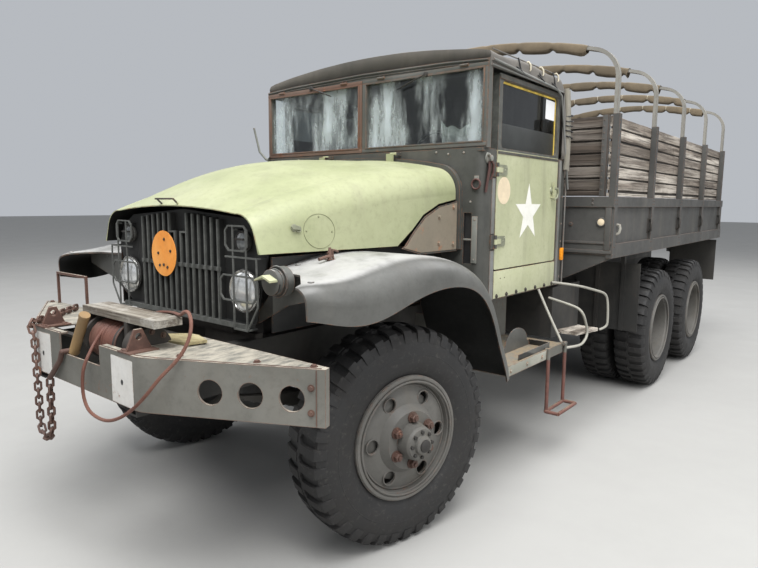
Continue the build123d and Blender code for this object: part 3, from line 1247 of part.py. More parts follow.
with BuildPart() as recovery_chain:
    stops = walk([Vector(x, datum_y + y, z) for x, y, z in chain_course], chain_pitch)
    upright = Vector(0, 0, 1)
    for i, (start, end) in enumerate(zip(stops[:-1], stops[1:])):
        along = (end - start).normalized()
        upright = (upright - along * upright.dot(along)).normalized()
        add(chain_link((start + end) * 0.5, along, along.cross(upright) if i % 2 == 0 else upright))
    # hook over the edge of the winch bay
    hook_radius = 11
    lip_z = winch_notch_z + hook_radius + seat_gap
    hook_front_y = bumper_front_y - hook_radius - 3
    hook_back_y = bumper_front_y + bumper_plate + hook_radius + 2
    eye = stops[-1] + along * (chain_wire / 2) - Vector(0, datum_y, 0)      # in the last link's end wire
    hook_line = [(eye.X, eye.Y, eye.Z), (-150, hook_front_y, 870), (-126, hook_front_y, lip_z),
                 (-124, hook_back_y, lip_z), (-124, hook_back_y, lip_z - 30)]
    for start, end in zip(hook_line[:-1], hook_line[1:]):
        rod(start, end, hook_radius)
        with Locations((end[0], datum_y + end[1], end[2])):
            Sphere(hook_radius)
finish(recovery_chain.part, "recovery_chain")

# Wire rope: off the drum, over the bay's lip, down before the bumper and up behind the boards
rope_diameter = 14
rope_points = [(60, -936.5, 1026.5), (82, -985, 985), (108, -1030, 938), (112, -1056, 890), (104, -1060, 830),
               (106, -1060, 770), (140, -1060, 722), (205, -1058, 706), (280, -1056, 708), (355, -1054, 732),
               (425, -1050, 768), (490, -1046, 812), (545, -1030, 868), (585, -1004, 928), (622, -958, 984),
               (642, -922, 1046), (640, -902, 1110), (606, -888, 1152), (550, -872, 1146), (490, -850, 1122),
               (430, -824, 1112.4), (360, -796, 1107), (290, -784, 1100), (220, -786, 1092), (150, -800, 1070),
               (110, -830, 1035)]


def fillet_radii(points, share=0.45):
    """Largest arcs that two neighbouring runs allow, one for each inner corner."""
    radii = []
    for before, here, after in zip(points[:-2], points[1:-1], points[2:]):
        first = Vector(*here) - Vector(*before)
        second = Vector(*after) - Vector(*here)
        turn = radians(first.get_angle(second))
        radii.append(share * min(first.length, second.length) / (sin(turn / 2) / cos(turn / 2)))
    return radii


rope_route = [(x, datum_y + y, z) for x, y, z in rope_points]
rope_radii = fillet_radii(rope_route)
with BuildPart() as wire_rope:
    with BuildLine() as rope_line:
        FilletPolyline(*rope_route, radius=rope_radii)
    with BuildSketch(Plane(origin=rope_line.line @ 0, z_dir=rope_line.line % 0)):
        Circle(rope_diameter / 2)
    sweep()
finish(wire_rope.part, "wire_rope")
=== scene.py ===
"""Looks of the military cargo truck: materials, soft goods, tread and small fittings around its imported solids."""
from math import asin, copysign, cos, exp, pi, radians, sin

import bmesh
import bpy
from mathutils import Matrix, Vector, noise
from mathutils.bvhtree import BVHTree


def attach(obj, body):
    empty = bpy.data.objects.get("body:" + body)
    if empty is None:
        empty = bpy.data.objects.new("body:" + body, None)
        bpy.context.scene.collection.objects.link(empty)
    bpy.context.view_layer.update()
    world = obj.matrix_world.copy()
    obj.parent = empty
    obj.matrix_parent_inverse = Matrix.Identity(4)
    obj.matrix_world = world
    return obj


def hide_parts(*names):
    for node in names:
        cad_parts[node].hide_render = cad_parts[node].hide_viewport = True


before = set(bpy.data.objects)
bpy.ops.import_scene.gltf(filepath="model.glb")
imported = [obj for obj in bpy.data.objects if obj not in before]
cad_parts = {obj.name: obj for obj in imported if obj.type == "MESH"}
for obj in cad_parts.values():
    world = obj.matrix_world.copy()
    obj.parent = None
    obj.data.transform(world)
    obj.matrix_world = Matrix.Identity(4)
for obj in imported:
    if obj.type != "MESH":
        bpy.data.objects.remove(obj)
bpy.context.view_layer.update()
DATUM = -2376.25          # Y of the steered wheels' centre line in the frame, in millimetres
TRUCK = "truck"
X, Y, Z = Vector((1, 0, 0)), Vector((0, 1, 0)), Vector((0, 0, 1))
AHEAD = -Y


def P(x, y, z):
    """A point in metres from millimetres, y measured behind the steered wheels' centre line."""
    return Vector((x / 1000, (DATUM + y) / 1000, z / 1000))


def mirrored(x, y, z):
    """The same point on the truck's right side."""
    return P(-x, y, z)


SIDES = ((1, P), (-1, mirrored))


def circle(count):
    """Evenly spaced angles all the way round."""
    return [2 * pi * k / count for k in range(count)]


def shade_of(colour, factor):
    return tuple(c * factor for c in colour)


# Materials


class Shade:
    """Builds one node material on object coordinates."""

    def __init__(self, name):
        self.mat = bpy.data.materials.new(name)
        self.mat.use_nodes = True
        self.tree = self.mat.node_tree
        self.bsdf = self.tree.nodes["Principled BSDF"]
        place = self.node("ShaderNodeTexCoord")
        self.coords, self.normal = place.outputs["Object"], place.outputs["Normal"]

    def node(self, kind, **values):
        n = self.tree.nodes.new(kind)
        for key, value in values.items():
            setattr(n, key, value)
        return n

    def feed(self, socket, value):
        """Links a socket to an output, or sets it to a number, vector or colour."""
        if hasattr(value, "is_output"):
            self.tree.links.new(value, socket)
        else:
            socket.default_value = (*value, 1.0) if socket.type == "RGBA" else value

    def feed_all(self, node, **values):
        for key, value in values.items():
            self.feed(node.inputs[key.replace("_", " ")], value)
        return node

    def noise(self, scale, detail=5.0, rough=0.6, offset=0.0):
        scale = scale if hasattr(scale, "__len__") else (scale,) * 3
        place = self.feed_all(self.node("ShaderNodeMapping"), Scale=scale, Vector=self.coords)
        n = self.node("ShaderNodeTexNoise", noise_dimensions="4D")
        self.feed_all(n, W=offset, Scale=1.0, Detail=detail, Roughness=rough, Vector=place.outputs["Vector"])
        return n.outputs["Fac"]

    def ramp(self, value, low, high, a=0.0, b=1.0):
        n = self.node("ShaderNodeMapRange", interpolation_type="SMOOTHSTEP")
        self.feed_all(n, From_Min=low, From_Max=high, To_Min=a, To_Max=b, Value=value)
        return n.outputs["Result"]

    def patches(self, scale, detail, rough, offset, low, high, *ends):
        """Noise cut to soft-edged patches."""
        return self.ramp(self.noise(scale, detail, rough, offset), low, high, *ends)

    def mix(self, fac, a, b):
        n = self.node("ShaderNodeMix", data_type="RGBA")
        for key, value in ((0, fac), (6, a), (7, b)):
            self.feed(n.inputs[key], value)
        return n.outputs[2]

    def math(self, op, a, b=0.0):
        n = self.node("ShaderNodeMath", operation=op)
        self.feed(n.inputs[0], a)
        self.feed(n.inputs[1], b)
        return n.outputs[0]

    def vector(self, op, a, b, output=0):
        n = self.node("ShaderNodeVectorMath", operation=op)
        self.feed(n.inputs[0], a)
        self.feed(n.inputs[1], b)
        return n.outputs[output]

    def part(self, vector, axis):
        n = self.node("ShaderNodeSeparateXYZ")
        self.feed(n.inputs[0], vector)
        return n.outputs[axis]

    def beyond(self, axis, value, rising=True, soft=0.0015):
        """1 where a coordinate lies past a value in metres."""
        ends = (0.0, 1.0) if rising else (1.0, 0.0)
        return self.ramp(self.part(self.coords, axis), value - soft, value + soft, *ends)

    def inward(self, centre, plane):
        """1 on faces that look towards a line through centre, square to the plane."""
        away = self.vector("MULTIPLY", self.vector("SUBTRACT", self.coords, centre), plane)
        return self.ramp(self.vector("DOT_PRODUCT", away, self.normal, "Value"), -0.05, -0.02, 1.0, 0.0)

    def edges(self, radius=0.006, low=0.02, high=0.25):
        """1 along sharp edges, 0 on flat faces."""
        bevel = self.feed_all(self.node("ShaderNodeBevel", samples=4), Radius=radius)
        normal = self.node("ShaderNodeNewGeometry").outputs["Normal"]
        dot = self.vector("DOT_PRODUCT", bevel.outputs[0], normal, "Value")
        return self.ramp(self.math("SUBTRACT", 1.0, dot), low, high)

    def done(self, colour, rough, bump=None, strength=0.3, distance=0.002, metal=0.0):
        for key, value in (("Base Color", colour), ("Roughness", rough), ("Metallic", metal)):
            self.feed(self.bsdf.inputs[key], value)
        if bump is not None:
            n = self.feed_all(self.node("ShaderNodeBump"), Strength=strength, Distance=distance, Height=bump)
            self.feed(self.bsdf.inputs["Normal"], n.outputs["Normal"])
        return self.mat


def painted(name, base, faded, rust=0.0, dirt=0.4, edge=0.0, rough=(0.55, 0.8), rust_tint=(0.17, 0.075, 0.035),
            dirt_tint=(0.13, 0.115, 0.09), zones=(), top_highlight_and_dust=None, top_highlight_and_dust_grain=(14, 14, 14)):
    """Old paint: broad fading, running dirt, rust in patches and at edges, tints in zones, painted highlight and dust
    on upward faces.
    """
    s = Shade(name)
    colour = s.mix(s.patches(1.7, 6, 0.65, 0, 0.38, 0.62), base, faded)
    colour = s.mix(s.patches(38, 6, 0.7, 3, 0.45, 0.75, 0.0, 0.35), colour, shade_of(base, 0.6))
    colour = s.mix(s.math("MULTIPLY", s.patches((7, 7, 0.7), 5, 0.6, 7, 0.48, 0.72), dirt), colour, dirt_tint)
    for zone, tint in zones:
        colour = s.mix(zone(s), colour, s.mix(s.patches(26, 6, 0.7, 31, 0.4, 0.65), tint, shade_of(tint, 1.5)))
    # upward faces paler: a painted highlight, broken into patches of dust
    if top_highlight_and_dust:
        upward_highlight = s.ramp(s.part(s.normal, 2), 0.84, 0.99)
        colour = s.mix(s.math("MULTIPLY", upward_highlight, s.patches(top_highlight_and_dust_grain, 9, 0.75, 23, 0.36, 0.60)), colour, top_highlight_and_dust)
    mask = s.patches(9, 9, 0.72, 11, 0.70 - 0.28 * rust, 0.76 - 0.24 * rust)
    if edge:
        worn = s.patches(24, 6, 0.7, 17, 0.52 - 0.25 * edge, 0.66 - 0.2 * edge)
        mask = s.math("MAXIMUM", mask, s.math("MULTIPLY", s.edges(), worn))
    bright_rust = tuple(min(1, c * 1.9) for c in rust_tint)
    colour = s.mix(mask, colour, s.mix(s.patches(30, 6, 0.7, 13, 0.35, 0.7), rust_tint, bright_rust))
    roughness = s.math("MAXIMUM", s.patches(6, 5, 0.6, 9, 0.3, 0.7, *rough), s.math("MULTIPLY", mask, 0.92))
    scale = s.math("MULTIPLY", mask, s.noise(60, 6, 0.8, 19))
    return s.done(colour, roughness, s.math("ADD", s.math("MULTIPLY", s.noise(90, 4, 0.6, 5), 0.35), scale), 0.35)


BOARD_FOOT, BOARD_PITCH = 1648, 84        # height of the lowest rack board's foot, and from course to course


def timber(name, along, base, pale, dark, paint=None):
    """Weathered board, its grain along one axis, each course of boards in its own shade."""
    s = Shade(name)

    def stretched(across_scale, along_scale):
        return tuple(along_scale if i == along else across_scale for i in range(3))

    grain = s.noise(stretched(30, 1.3), 9, 0.7)
    colour = s.mix(s.ramp(grain, 0.40, 0.60), dark, base)
    colour = s.mix(s.patches(stretched(12, 0.52), 6, 0.65, 4, 0.44, 0.60), colour, pale)
    fine = s.patches(stretched(120, 2.08), 6, 0.7, 8, 0.36, 0.50)
    colour = s.mix(fine, shade_of(dark, 1.4), colour)
    colour = s.mix(s.patches(4.5, 8, 0.7, 12, 0.50, 0.70, 0.0, 0.75), colour, shade_of(dark, 1.2))
    course = s.node("ShaderNodeTexWhiteNoise", noise_dimensions="1D")
    above = s.math("SUBTRACT", s.part(s.coords, 2), (BOARD_FOOT - 4) / 1000)
    s.feed_all(course, W=s.math("FLOOR", s.math("DIVIDE", above, BOARD_PITCH / 1000)))
    colour = s.mix(s.math("MULTIPLY", course.outputs["Value"], 0.45), colour, shade_of(base, 0.7))
    if paint:
        colour = s.mix(s.patches(5, 7, 0.7, 21, 0.46, 0.6), colour, paint)
    return s.done(colour, s.ramp(grain, 0.3, 0.7, 0.75, 0.95), s.math("ADD", grain, fine), 0.7, 0.004)


def weave(name, base, stain):
    """Canvas: a fine plain weave with stains and faded patches."""
    s = Shade(name)
    colour = s.mix(s.patches(2.3, 7, 0.7, 0, 0.35, 0.66), base, stain)
    colour = s.mix(s.patches((9, 9, 1.4), 6, 0.65, 6, 0.5, 0.75, 0, 0.6), colour, shade_of(base, 0.55))
    threads = []
    for turn in (0, pi / 2):
        place = s.feed_all(s.node("ShaderNodeMapping"), Rotation=(0, 0, turn), Vector=s.coords)
        w = s.node("ShaderNodeTexWave", wave_type="BANDS", bands_direction="DIAGONAL")
        threads.append(s.feed_all(w, Scale=45, Distortion=1.2, Vector=place.outputs["Vector"]).outputs["Fac"])
    cloth = s.math("MULTIPLY", s.math("MAXIMUM", *threads), 0.35)
    s.feed_all(s.bsdf, Sheen_Weight=0.15)
    return s.done(colour, 0.92, s.math("ADD", cloth, s.noise(14, 6, 0.6, 12)), 0.4, 0.004)


def plain(name, colour, rough=0.6, metal=0.0, var=0.25, scale=20):
    """A small part's material, with a little variation."""
    s = Shade(name)
    return s.done(s.mix(s.patches(scale, 6, 0.7, 0, 0.35, 0.65), colour, shade_of(colour, 1 - var)),
                  s.patches(scale * 2, 4, 0.6, 3, 0.3, 0.7, rough * 0.85, min(1, rough * 1.1)),
                  s.noise(scale * 6, 4, 0.6, 5), 0.2, 0.001, metal)


def pane(name, tint=(0.80, 0.86, 0.84), dust_and_reflection_amount=0.75):
    """Old glass with dust and streaks, their pale blue colour also a painted reflection."""
    s = Shade(name)
    dust = s.math("MULTIPLY", s.patches((5, 5, 1.2), 8, 0.7, 0, 0.42, 0.75), dust_and_reflection_amount)
    s.feed_all(s.bsdf, Transmission_Weight=s.math("SUBTRACT", 1.0, dust), IOR=1.45)
    # the dusty patches turn opaque pale blue: dust and a painted reflection together
    return s.done(s.mix(dust, tint, (0.62, 0.70, 0.76)), s.ramp(dust, 0.0, 0.5, 0.03, 0.5))


def rubber(name):
    """Black rubber with dust and pale scuffs."""
    s = Shade(name)
    dusty = s.patches(5, 8, 0.7, 0, 0.35, 0.7)
    colour = s.mix(dusty, (0.009, 0.0088, 0.009), (0.022, 0.0205, 0.0195))
    colour = s.mix(s.patches(45, 6, 0.75, 4, 0.52, 0.7, 0, 0.6), colour, (0.058, 0.053, 0.046))
    return s.done(colour, s.ramp(dusty, 0, 1, 0.62, 0.9), s.noise(160, 5, 0.7, 8), 0.25, 0.001)


# Zones of other tints, each 1 where its tint goes; the black zones are painted shade under the hood and fenders
def hood_inside_shade(s):
    return s.inward((0, 0, 1.0), (1, 0, 1))


def hood_handle(s):
    return s.beyond(1, (DATUM - 571) / 1000, rising=False, soft=0.0006)


def arch_inside_shade(s):
    return s.inward((0, DATUM / 1000, 0.45), (0, 1, 1))


def apron_shade(s):
    return s.ramp(s.math("ABSOLUTE", s.part(s.coords, 0)), 0.609, 0.611, 1.0, 0.0)


def door_frame(s):
    return s.beyond(2, 1.846)


def tow_lugs_and_hoop(s):
    return s.beyond(2, 0.988)


def stirrups(s):
    return s.beyond(2, 0.621, rising=False)


def grille_bar_fronts(s):
    return s.beyond(1, (DATUM - 533) / 1000, rising=False, soft=0.003)


# near-black painted shade for the hood's inner faces and the fenders' arches and aprons
SHADE_BLACK = (0.012, 0.012, 0.011)
DARK_RUST = (0.06, 0.03, 0.02)
# painted: name, colour, faded colour, rust, dirt and worn edges; timber: name, grain's axis, colours
# The tints given for upward faces below are a painted highlight with dust
M = {
    "hood": painted("hood_paint", (0.285, 0.305, 0.168), (0.34, 0.355, 0.21), 0.10, 0.22, 0.25, (0.42, 0.62),
                    zones=[(hood_inside_shade, SHADE_BLACK), (hood_handle, (0.05, 0.042, 0.035))]),
    "cab": painted("cab_paint", (0.040, 0.041, 0.035), (0.068, 0.068, 0.060), 0.15, 0.35, 0.5),
    "door": painted("door_paint", (0.385, 0.40, 0.245), (0.45, 0.46, 0.30), 0.12, 0.30, 0.3, (0.5, 0.7),
                    zones=[(door_frame, (0.065, 0.066, 0.058))]),
    "fender": painted("fender_paint", (0.066, 0.066, 0.060), (0.10, 0.10, 0.092), 0.12, 0.2, 0.35, (0.30, 0.55),
                      zones=[(arch_inside_shade, SHADE_BLACK), (apron_shade, SHADE_BLACK)], top_highlight_and_dust=(0.38, 0.375, 0.36),
                      top_highlight_and_dust_grain=(1.3, 1.3, 1.3)),
    "chassis": painted("chassis_paint", (0.020, 0.0195, 0.018), (0.040, 0.037, 0.032), 0.16,
                       rust_tint=DARK_RUST, dirt_tint=(0.07, 0.06, 0.05)),
    "bumper": painted("bumper_paint", (0.115, 0.112, 0.096), (0.165, 0.16, 0.14), 0.30, 0.3, 0.9,
                      rust_tint=(0.12, 0.058, 0.036), zones=[(tow_lugs_and_hoop, (0.075, 0.038, 0.028))],
                      top_highlight_and_dust=(0.36, 0.33, 0.27), top_highlight_and_dust_grain=(34, 11, 20)),
    "steps": painted("step_paint", (0.11, 0.108, 0.093), (0.16, 0.155, 0.135), 0.40, 0.4, 0.7,
                     rust_tint=(0.12, 0.06, 0.038), zones=[(stirrups, (0.10, 0.042, 0.032))],
                     top_highlight_and_dust=(0.22, 0.17, 0.11)),
    "bed": painted("bed_paint", (0.044, 0.0435, 0.0405), (0.07, 0.068, 0.063), 0.2, 0.3, 0.75,
                   rust_tint=(0.10, 0.055, 0.035), top_highlight_and_dust=(0.105, 0.098, 0.088)),
    "bow": painted("bow_paint", (0.17, 0.165, 0.145), (0.25, 0.24, 0.21), 0.28, 0.3, 0.8,
                   rust_tint=(0.09, 0.055, 0.038)),
    # the grille's near-black is painted shade between the bars; the bar fronts get a grey tint
    "grille": painted("grille_paint", (0.012, 0.0125, 0.0118), (0.022, 0.022, 0.021), 0.1, 0.25,
                      rust_tint=DARK_RUST, dirt_tint=(0.05, 0.045, 0.04),
                      zones=[(grille_bar_fronts, (0.072, 0.074, 0.068))]),
    "lamp_body": painted("lamp_paint", (0.085, 0.086, 0.078), (0.125, 0.125, 0.115), 0.15, 0.3, 0.4),
    "wheel": painted("wheel_paint", (0.095, 0.091, 0.082), (0.145, 0.138, 0.125), 0.25, 0.45, 0.2,
                     rust_tint=(0.12, 0.065, 0.042)),
    "rust": painted("rusty_steel", (0.075, 0.038, 0.028), (0.13, 0.07, 0.05), 0.4, 0.3,
                    rust_tint=(0.16, 0.075, 0.045)),
    "rope": painted("rusty_rope", (0.12, 0.045, 0.030), (0.17, 0.075, 0.052), 0.3, 0.3,
                    rust_tint=(0.14, 0.06, 0.038)),
    "machine": painted("machinery_iron", (0.022, 0.020, 0.018), (0.045, 0.038, 0.031), 0.35, 0.4,
                       rust_tint=(0.075, 0.04, 0.026), dirt_tint=(0.06, 0.05, 0.04)),
    "window_frame": painted("window_frame_paint", (0.065, 0.067, 0.058), (0.11, 0.11, 0.10), 0.25, 0.4, 0.6),
    "frame_rusty": painted("rusty_window_frame", (0.115, 0.065, 0.045), (0.15, 0.10, 0.075), 0.45, 0.3, 0.5,
                           rust_tint=(0.13, 0.055, 0.03)),
    "orange_plate": painted("orange_plate_paint", (0.86, 0.29, 0.030), (0.92, 0.40, 0.09), 0.08, 0.12, 0.2),
    "white_worn": painted("worn_white_paint", (0.66, 0.65, 0.62), (0.56, 0.54, 0.50), 0.32, 0.12, 0.5,
                          rust_tint=(0.22, 0.12, 0.075)),
    "ochre": painted("ochre_rust_paint", (0.27, 0.17, 0.07), (0.20, 0.115, 0.055), 0.3, 0.3),
    "trim_grey": painted("grey_trim_paint", (0.17, 0.175, 0.155), (0.24, 0.245, 0.22), 0.2, 0.3, 0.5),
    "cab_pale": painted("worn_cab_paint", (0.13, 0.135, 0.125), (0.20, 0.20, 0.19), 0.18, 0.35, 0.7),
    "rusty_panel": painted("rusty_panel_paint", (0.20, 0.17, 0.125), (0.25, 0.20, 0.15), 0.42, 0.25, 0.4,
                           rust_tint=(0.20, 0.095, 0.05)),
    "pale_steel": painted("pale_tube_paint", (0.38, 0.37, 0.32), (0.30, 0.29, 0.25), 0.2, 0.25, 0.3),
    "peeling": painted("peeling_step_paint", (0.40, 0.39, 0.33), (0.24, 0.24, 0.20), 0.4, 0.3, 0.5),
    "plank": timber("plank_wood", 0, (0.21, 0.185, 0.145), (0.45, 0.42, 0.36), (0.06, 0.04, 0.026),
                    paint=(0.36, 0.34, 0.30)),
    "plank_yellow": timber("second_board_wood", 0, (0.42, 0.36, 0.19), (0.55, 0.50, 0.30), (0.20, 0.16, 0.08)),
    "board_y": timber("board_wood_long", 1, (0.29, 0.245, 0.20), (0.60, 0.545, 0.47), (0.050, 0.036, 0.026)),
    # the same wood across the front, about a third as bright: painted shade
    "board_x_shaded": timber("board_wood_cross_shaded", 0, (0.10, 0.078, 0.06), (0.19, 0.165, 0.14), (0.026, 0.018, 0.012)),
    # near-black wood for the strips behind the boards' gaps: painted shade
    "gap_shade": timber("board_gap_shade_wood", 1, (0.026, 0.020, 0.015), (0.045, 0.037, 0.03), (0.010, 0.008, 0.006)),
    "canvas": weave("top_canvas", (0.085, 0.078, 0.068), (0.135, 0.12, 0.10)),
    "pale_canvas": weave("pale_canvas", (0.25, 0.23, 0.185), (0.16, 0.15, 0.12)),
    "sleeve": weave("sleeve_canvas", (0.175, 0.135, 0.085), (0.11, 0.086, 0.055)),
    "cushion": weave("cushion_cover", (0.10, 0.09, 0.065), (0.16, 0.14, 0.10)),
    "white_cloth": weave("white_cloth", (0.50, 0.51, 0.50), (0.36, 0.37, 0.36)),
    "glass": pane("cab_pane"),
    # the door panes' near-black tint is painted shade of the cab behind them
    "door_glass": pane("door_pane_shaded", (0.10, 0.11, 0.105), 0.12),
    "tyre": rubber("tyre_rubber"),
    "lens": plain("lamp_lens", (0.80, 0.81, 0.80), 0.14, 0.55, var=0.12, scale=12),
    "lens_grey": plain("marker_lens", (0.23, 0.24, 0.24), 0.2, 0.3, scale=30),
    "red_lens": plain("red_lens", (0.28, 0.02, 0.015), 0.2, scale=10),
    "black": plain("black_plastic", (0.02, 0.02, 0.02), 0.5),
    "dark_steel": plain("dark_steel", (0.07, 0.065, 0.06), 0.6, 0.6),
    "bright": plain("bare_steel", (0.62, 0.61, 0.58), 0.25, 0.9),
    "catch": plain("hood_catch_metal", (0.30, 0.31, 0.22), 0.45, 0.4),
    "white": plain("white_paint", (0.80, 0.79, 0.72), 0.6, var=0.10),
    "cream": plain("cream_paint", (0.72, 0.60, 0.42), 0.6, var=0.12),
    "orange": plain("orange_marker", (0.95, 0.33, 0.015), 0.35),
    "yellow": plain("yellow_edge_paint", (0.95, 0.68, 0.12), 0.55, var=0.5, scale=9),
    "hood_edge": plain("hood_cover_edge", (0.20, 0.21, 0.11), 0.6),
    # dark glossy plates in window openings, painted shade of the space behind
    "shade_panel": plain("window_shade_panel", (0.035, 0.037, 0.035), 0.35, scale=6),
    "paper": plain("blank_paper", (0.80, 0.80, 0.80), 0.75, var=0.05),
    "strap": plain("old_strap", (0.085, 0.035, 0.028), 0.7, scale=30),
    "lashing": plain("lashing_cord", (0.52, 0.47, 0.36), 0.9, scale=60),
}

NODES = {
    "bow": "bows", "cab": "cab_body cab_interior", "glass": "cab_glass", "steps": "cab_steps",
    "bed": "cargo_bed rack_posts tailgate", "door": "door_left door_right",
    "door_glass": "door_glass_left door_glass_right",
    "machine": "driveline engine_and_radiator winch", "rust": "exhaust recovery_chain", "bumper": "front_bumper",
    "chassis": "frame_rails front_axle fuel_tank knuckle_left knuckle_right leaf_springs rear_axles splash_panels "
               "stowage_box tie_rod",
    "fender": "front_fenders", "grille": "grille", "hood": "hood", "lamp_body": "lamps", "black": "steering_wheel",
    "plank": "winch_planks", "window_frame": "windshield_frame", "board_y": "rack_boards",
}
NODE_MATERIAL = {node: key for key, nodes in NODES.items() for node in nodes.split()}
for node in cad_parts:
    if node.startswith(("front_wheel", "dual_wheels")):
        NODE_MATERIAL[node] = "wheel"
    if node.startswith(("front_tyre", "dual_tyres")):
        NODE_MATERIAL[node] = "tyre"
for node, key in NODE_MATERIAL.items():
    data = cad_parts[node].data
    data.materials.clear()
    data.materials.append(M[key])

# Mesh helpers


def frames_along(points):
    """Each point of a line with two directions square to it, carried along without a twist."""
    up = None
    for i, p in enumerate(points):
        t = (points[min(i + 1, len(points) - 1)] - points[max(i - 1, 0)]).normalized()
        up = t.orthogonal().normalized() if up is None else (up - t * up.dot(t)).normalized()
        yield p, up, t.cross(up)


def put(name, data):
    """An object in the scene."""
    obj = bpy.data.objects.new(name, data)
    bpy.context.scene.collection.objects.link(obj)
    return obj


class Form:
    """Collects simple shapes, given in metres, into one mesh piece that rides on a body."""

    waiting = []

    def __init__(self, name, slot, material, smooth=30, body=TRUCK, replaces=()):
        self.name, self.slot, self.material, self.smooth = name, slot, material, smooth
        self.body, self.replaces, self.bm = body, replaces, bmesh.new()
        Form.waiting.append(self)

    def grid(self, rows, close_u=False, close_v=False):
        """A skin through rows of points."""
        verts = [[self.bm.verts.new(p) for p in row] for row in rows]
        n, m = len(verts), len(verts[0])
        for i in range(n if close_u else n - 1):
            for j in range(m if close_v else m - 1):
                below, above = verts[i], verts[(i + 1) % n]
                self.bm.faces.new((below[j], below[(j + 1) % m], above[(j + 1) % m], above[j]))
        return verts

    def ends(self, verts):
        """Closes the first and the last row of a grid."""
        for row in (verts[0], verts[-1][::-1]):
            self.bm.faces.new(row)

    def tube(self, points, radius, sides=10, caps=True):
        """A round bar through points; radius may be a list."""
        points = [Vector(p) for p in points]
        radii = radius if hasattr(radius, "__len__") else [radius] * len(points)
        rows = [[p + (up * cos(a) + side * sin(a)) * r for a in circle(sides)]
                for (p, up, side), r in zip(frames_along(points), radii)]
        verts = self.grid(rows, close_v=True)
        if caps:
            self.ends(verts)

    def box(self, one, other, bevel=0.0):
        """A block between two opposite corners."""
        one, other = Vector(one), Vector(other)
        made = bmesh.ops.create_cube(self.bm, size=1.0)["verts"]
        for v in made:
            v.co = v.co * (other - one) + (one + other) / 2
        if bevel:
            edges = list({e for v in made for e in v.link_edges})
            bmesh.ops.bevel(self.bm, geom=edges, offset=bevel, segments=2, affect="EDGES", profile=0.6)

    def bolt(self, at, normal, radius=0.011, height=0.009, washer=True):
        """A hexagon head on a face."""
        at, normal = Vector(at), Vector(normal).normalized()
        if washer:
            self.tube([at, at + normal * 0.002], radius * 1.45, 14)
        self.tube([at, at + normal * height, at + normal * (height + 0.0012)], [radius, radius, radius * 0.86], 6)

    def rivet(self, at, normal, radius=0.008):
        """A low round head on a face."""
        at, normal = Vector(at), Vector(normal).normalized()
        self.tube([at, at + normal * radius * 0.35, at + normal * radius * 0.55],
                  [radius, radius * 0.8, radius * 0.3], 8)

    def plate(self, outline, origin, u, v, thick):
        """A flat piece: its outline along u and v from origin, in metres, standing thick proud."""
        u, v, origin = Vector(u), Vector(v), Vector(origin)
        n = u.cross(v).normalized()
        low, high = [[self.bm.verts.new(origin + u * a + v * b + n * h) for a, b in outline] for h in (0, thick)]
        for loop in (low[::-1], high):
            self.bm.faces.new(loop)
        for i in range(len(outline)):
            j = (i + 1) % len(outline)
            self.bm.faces.new((low[i], low[j], high[j], high[i]))

    def side_plate(self, side, x, thick, points):
        """A flat piece on the plane x of one side, from (y, z) points in millimetres."""
        self.plate([(y / 1000, z / 1000) for y, z in points][::side], P(side * x, 0, 0), Y, Z, side * thick)

    def lathe(self, centre, axis, profile, turns=32, wide=1.0, closed=False):
        """A form turned about an axis, from (distance along it, radius) pairs."""
        w = Vector(axis).normalized()
        u = (X if abs(w.z) > 0.9 else Z).cross(w).normalized()
        v = w.cross(u)
        rows = []
        for a in circle(turns):
            out = u * cos(a) * wide + v * sin(a)
            rows.append([Vector(centre) + w * d + out * max(r, 1e-6) for d, r in profile])
        self.grid(rows, close_u=True, close_v=closed)

    def ring(self, centre, axis, radius, tube, sides=8, turns=40, flat=1.0):
        """A round bar bent to a ring."""
        profile = [(tube * flat * sin(b), radius + tube * cos(b)) for b in circle(sides)]
        self.lathe(centre, axis, profile, turns, closed=True)

    def done(self):
        """Makes the mesh piece and says what it rides on and the nodes that it replaces."""
        Form.waiting.remove(self)
        bmesh.ops.remove_doubles(self.bm, verts=self.bm.verts, dist=5e-6)
        bmesh.ops.recalc_face_normals(self.bm, faces=self.bm.faces)
        mesh = bpy.data.meshes.new(self.name)
        self.bm.to_mesh(mesh)
        self.bm.free()
        mesh.materials.append(M[self.material])
        mesh.shade_smooth()
        mesh.set_sharp_from_angle(angle=radians(self.smooth))
        obj = put(self.name, mesh)
        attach(obj, self.body)
        if self.replaces:
            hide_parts(*self.replaces)
        return obj


# Camera, floor and light

WIDTH, HEIGHT, FOCAL = 758, 568, 605.242      # the photograph's size and focal length, in pixels
camera = put("camera", bpy.data.cameras.new("camera"))
camera.data.lens = FOCAL / WIDTH * 36
camera.data.clip_end = 200
yaw, pitch, roll = radians(39.103), radians(7.675), radians(0.456)
back = Vector((sin(yaw) * cos(pitch), -cos(yaw) * cos(pitch), sin(pitch)))
right = (-back).cross(Z).normalized()
up = right.cross(-back)
right, up = right * cos(roll) + up * sin(roll), up * cos(roll) - right * sin(roll)
eye = P(2508, -2136, 1553)
camera.matrix_world = Matrix([*zip(right, up, back, eye), (0, 0, 0, 1)])
bpy.context.scene.camera = camera

floor_mesh = bpy.data.meshes.new("floor")
floor_mesh.from_pydata([(-60, -60, 0), (60, -60, 0), (60, 60, 0), (-60, 60, 0)], [], [(0, 1, 2, 3)])
floor_mesh.materials.append(plain("floor_grey", (0.36, 0.355, 0.34), 0.9, var=0.04, scale=1))
put("floor", floor_mesh)

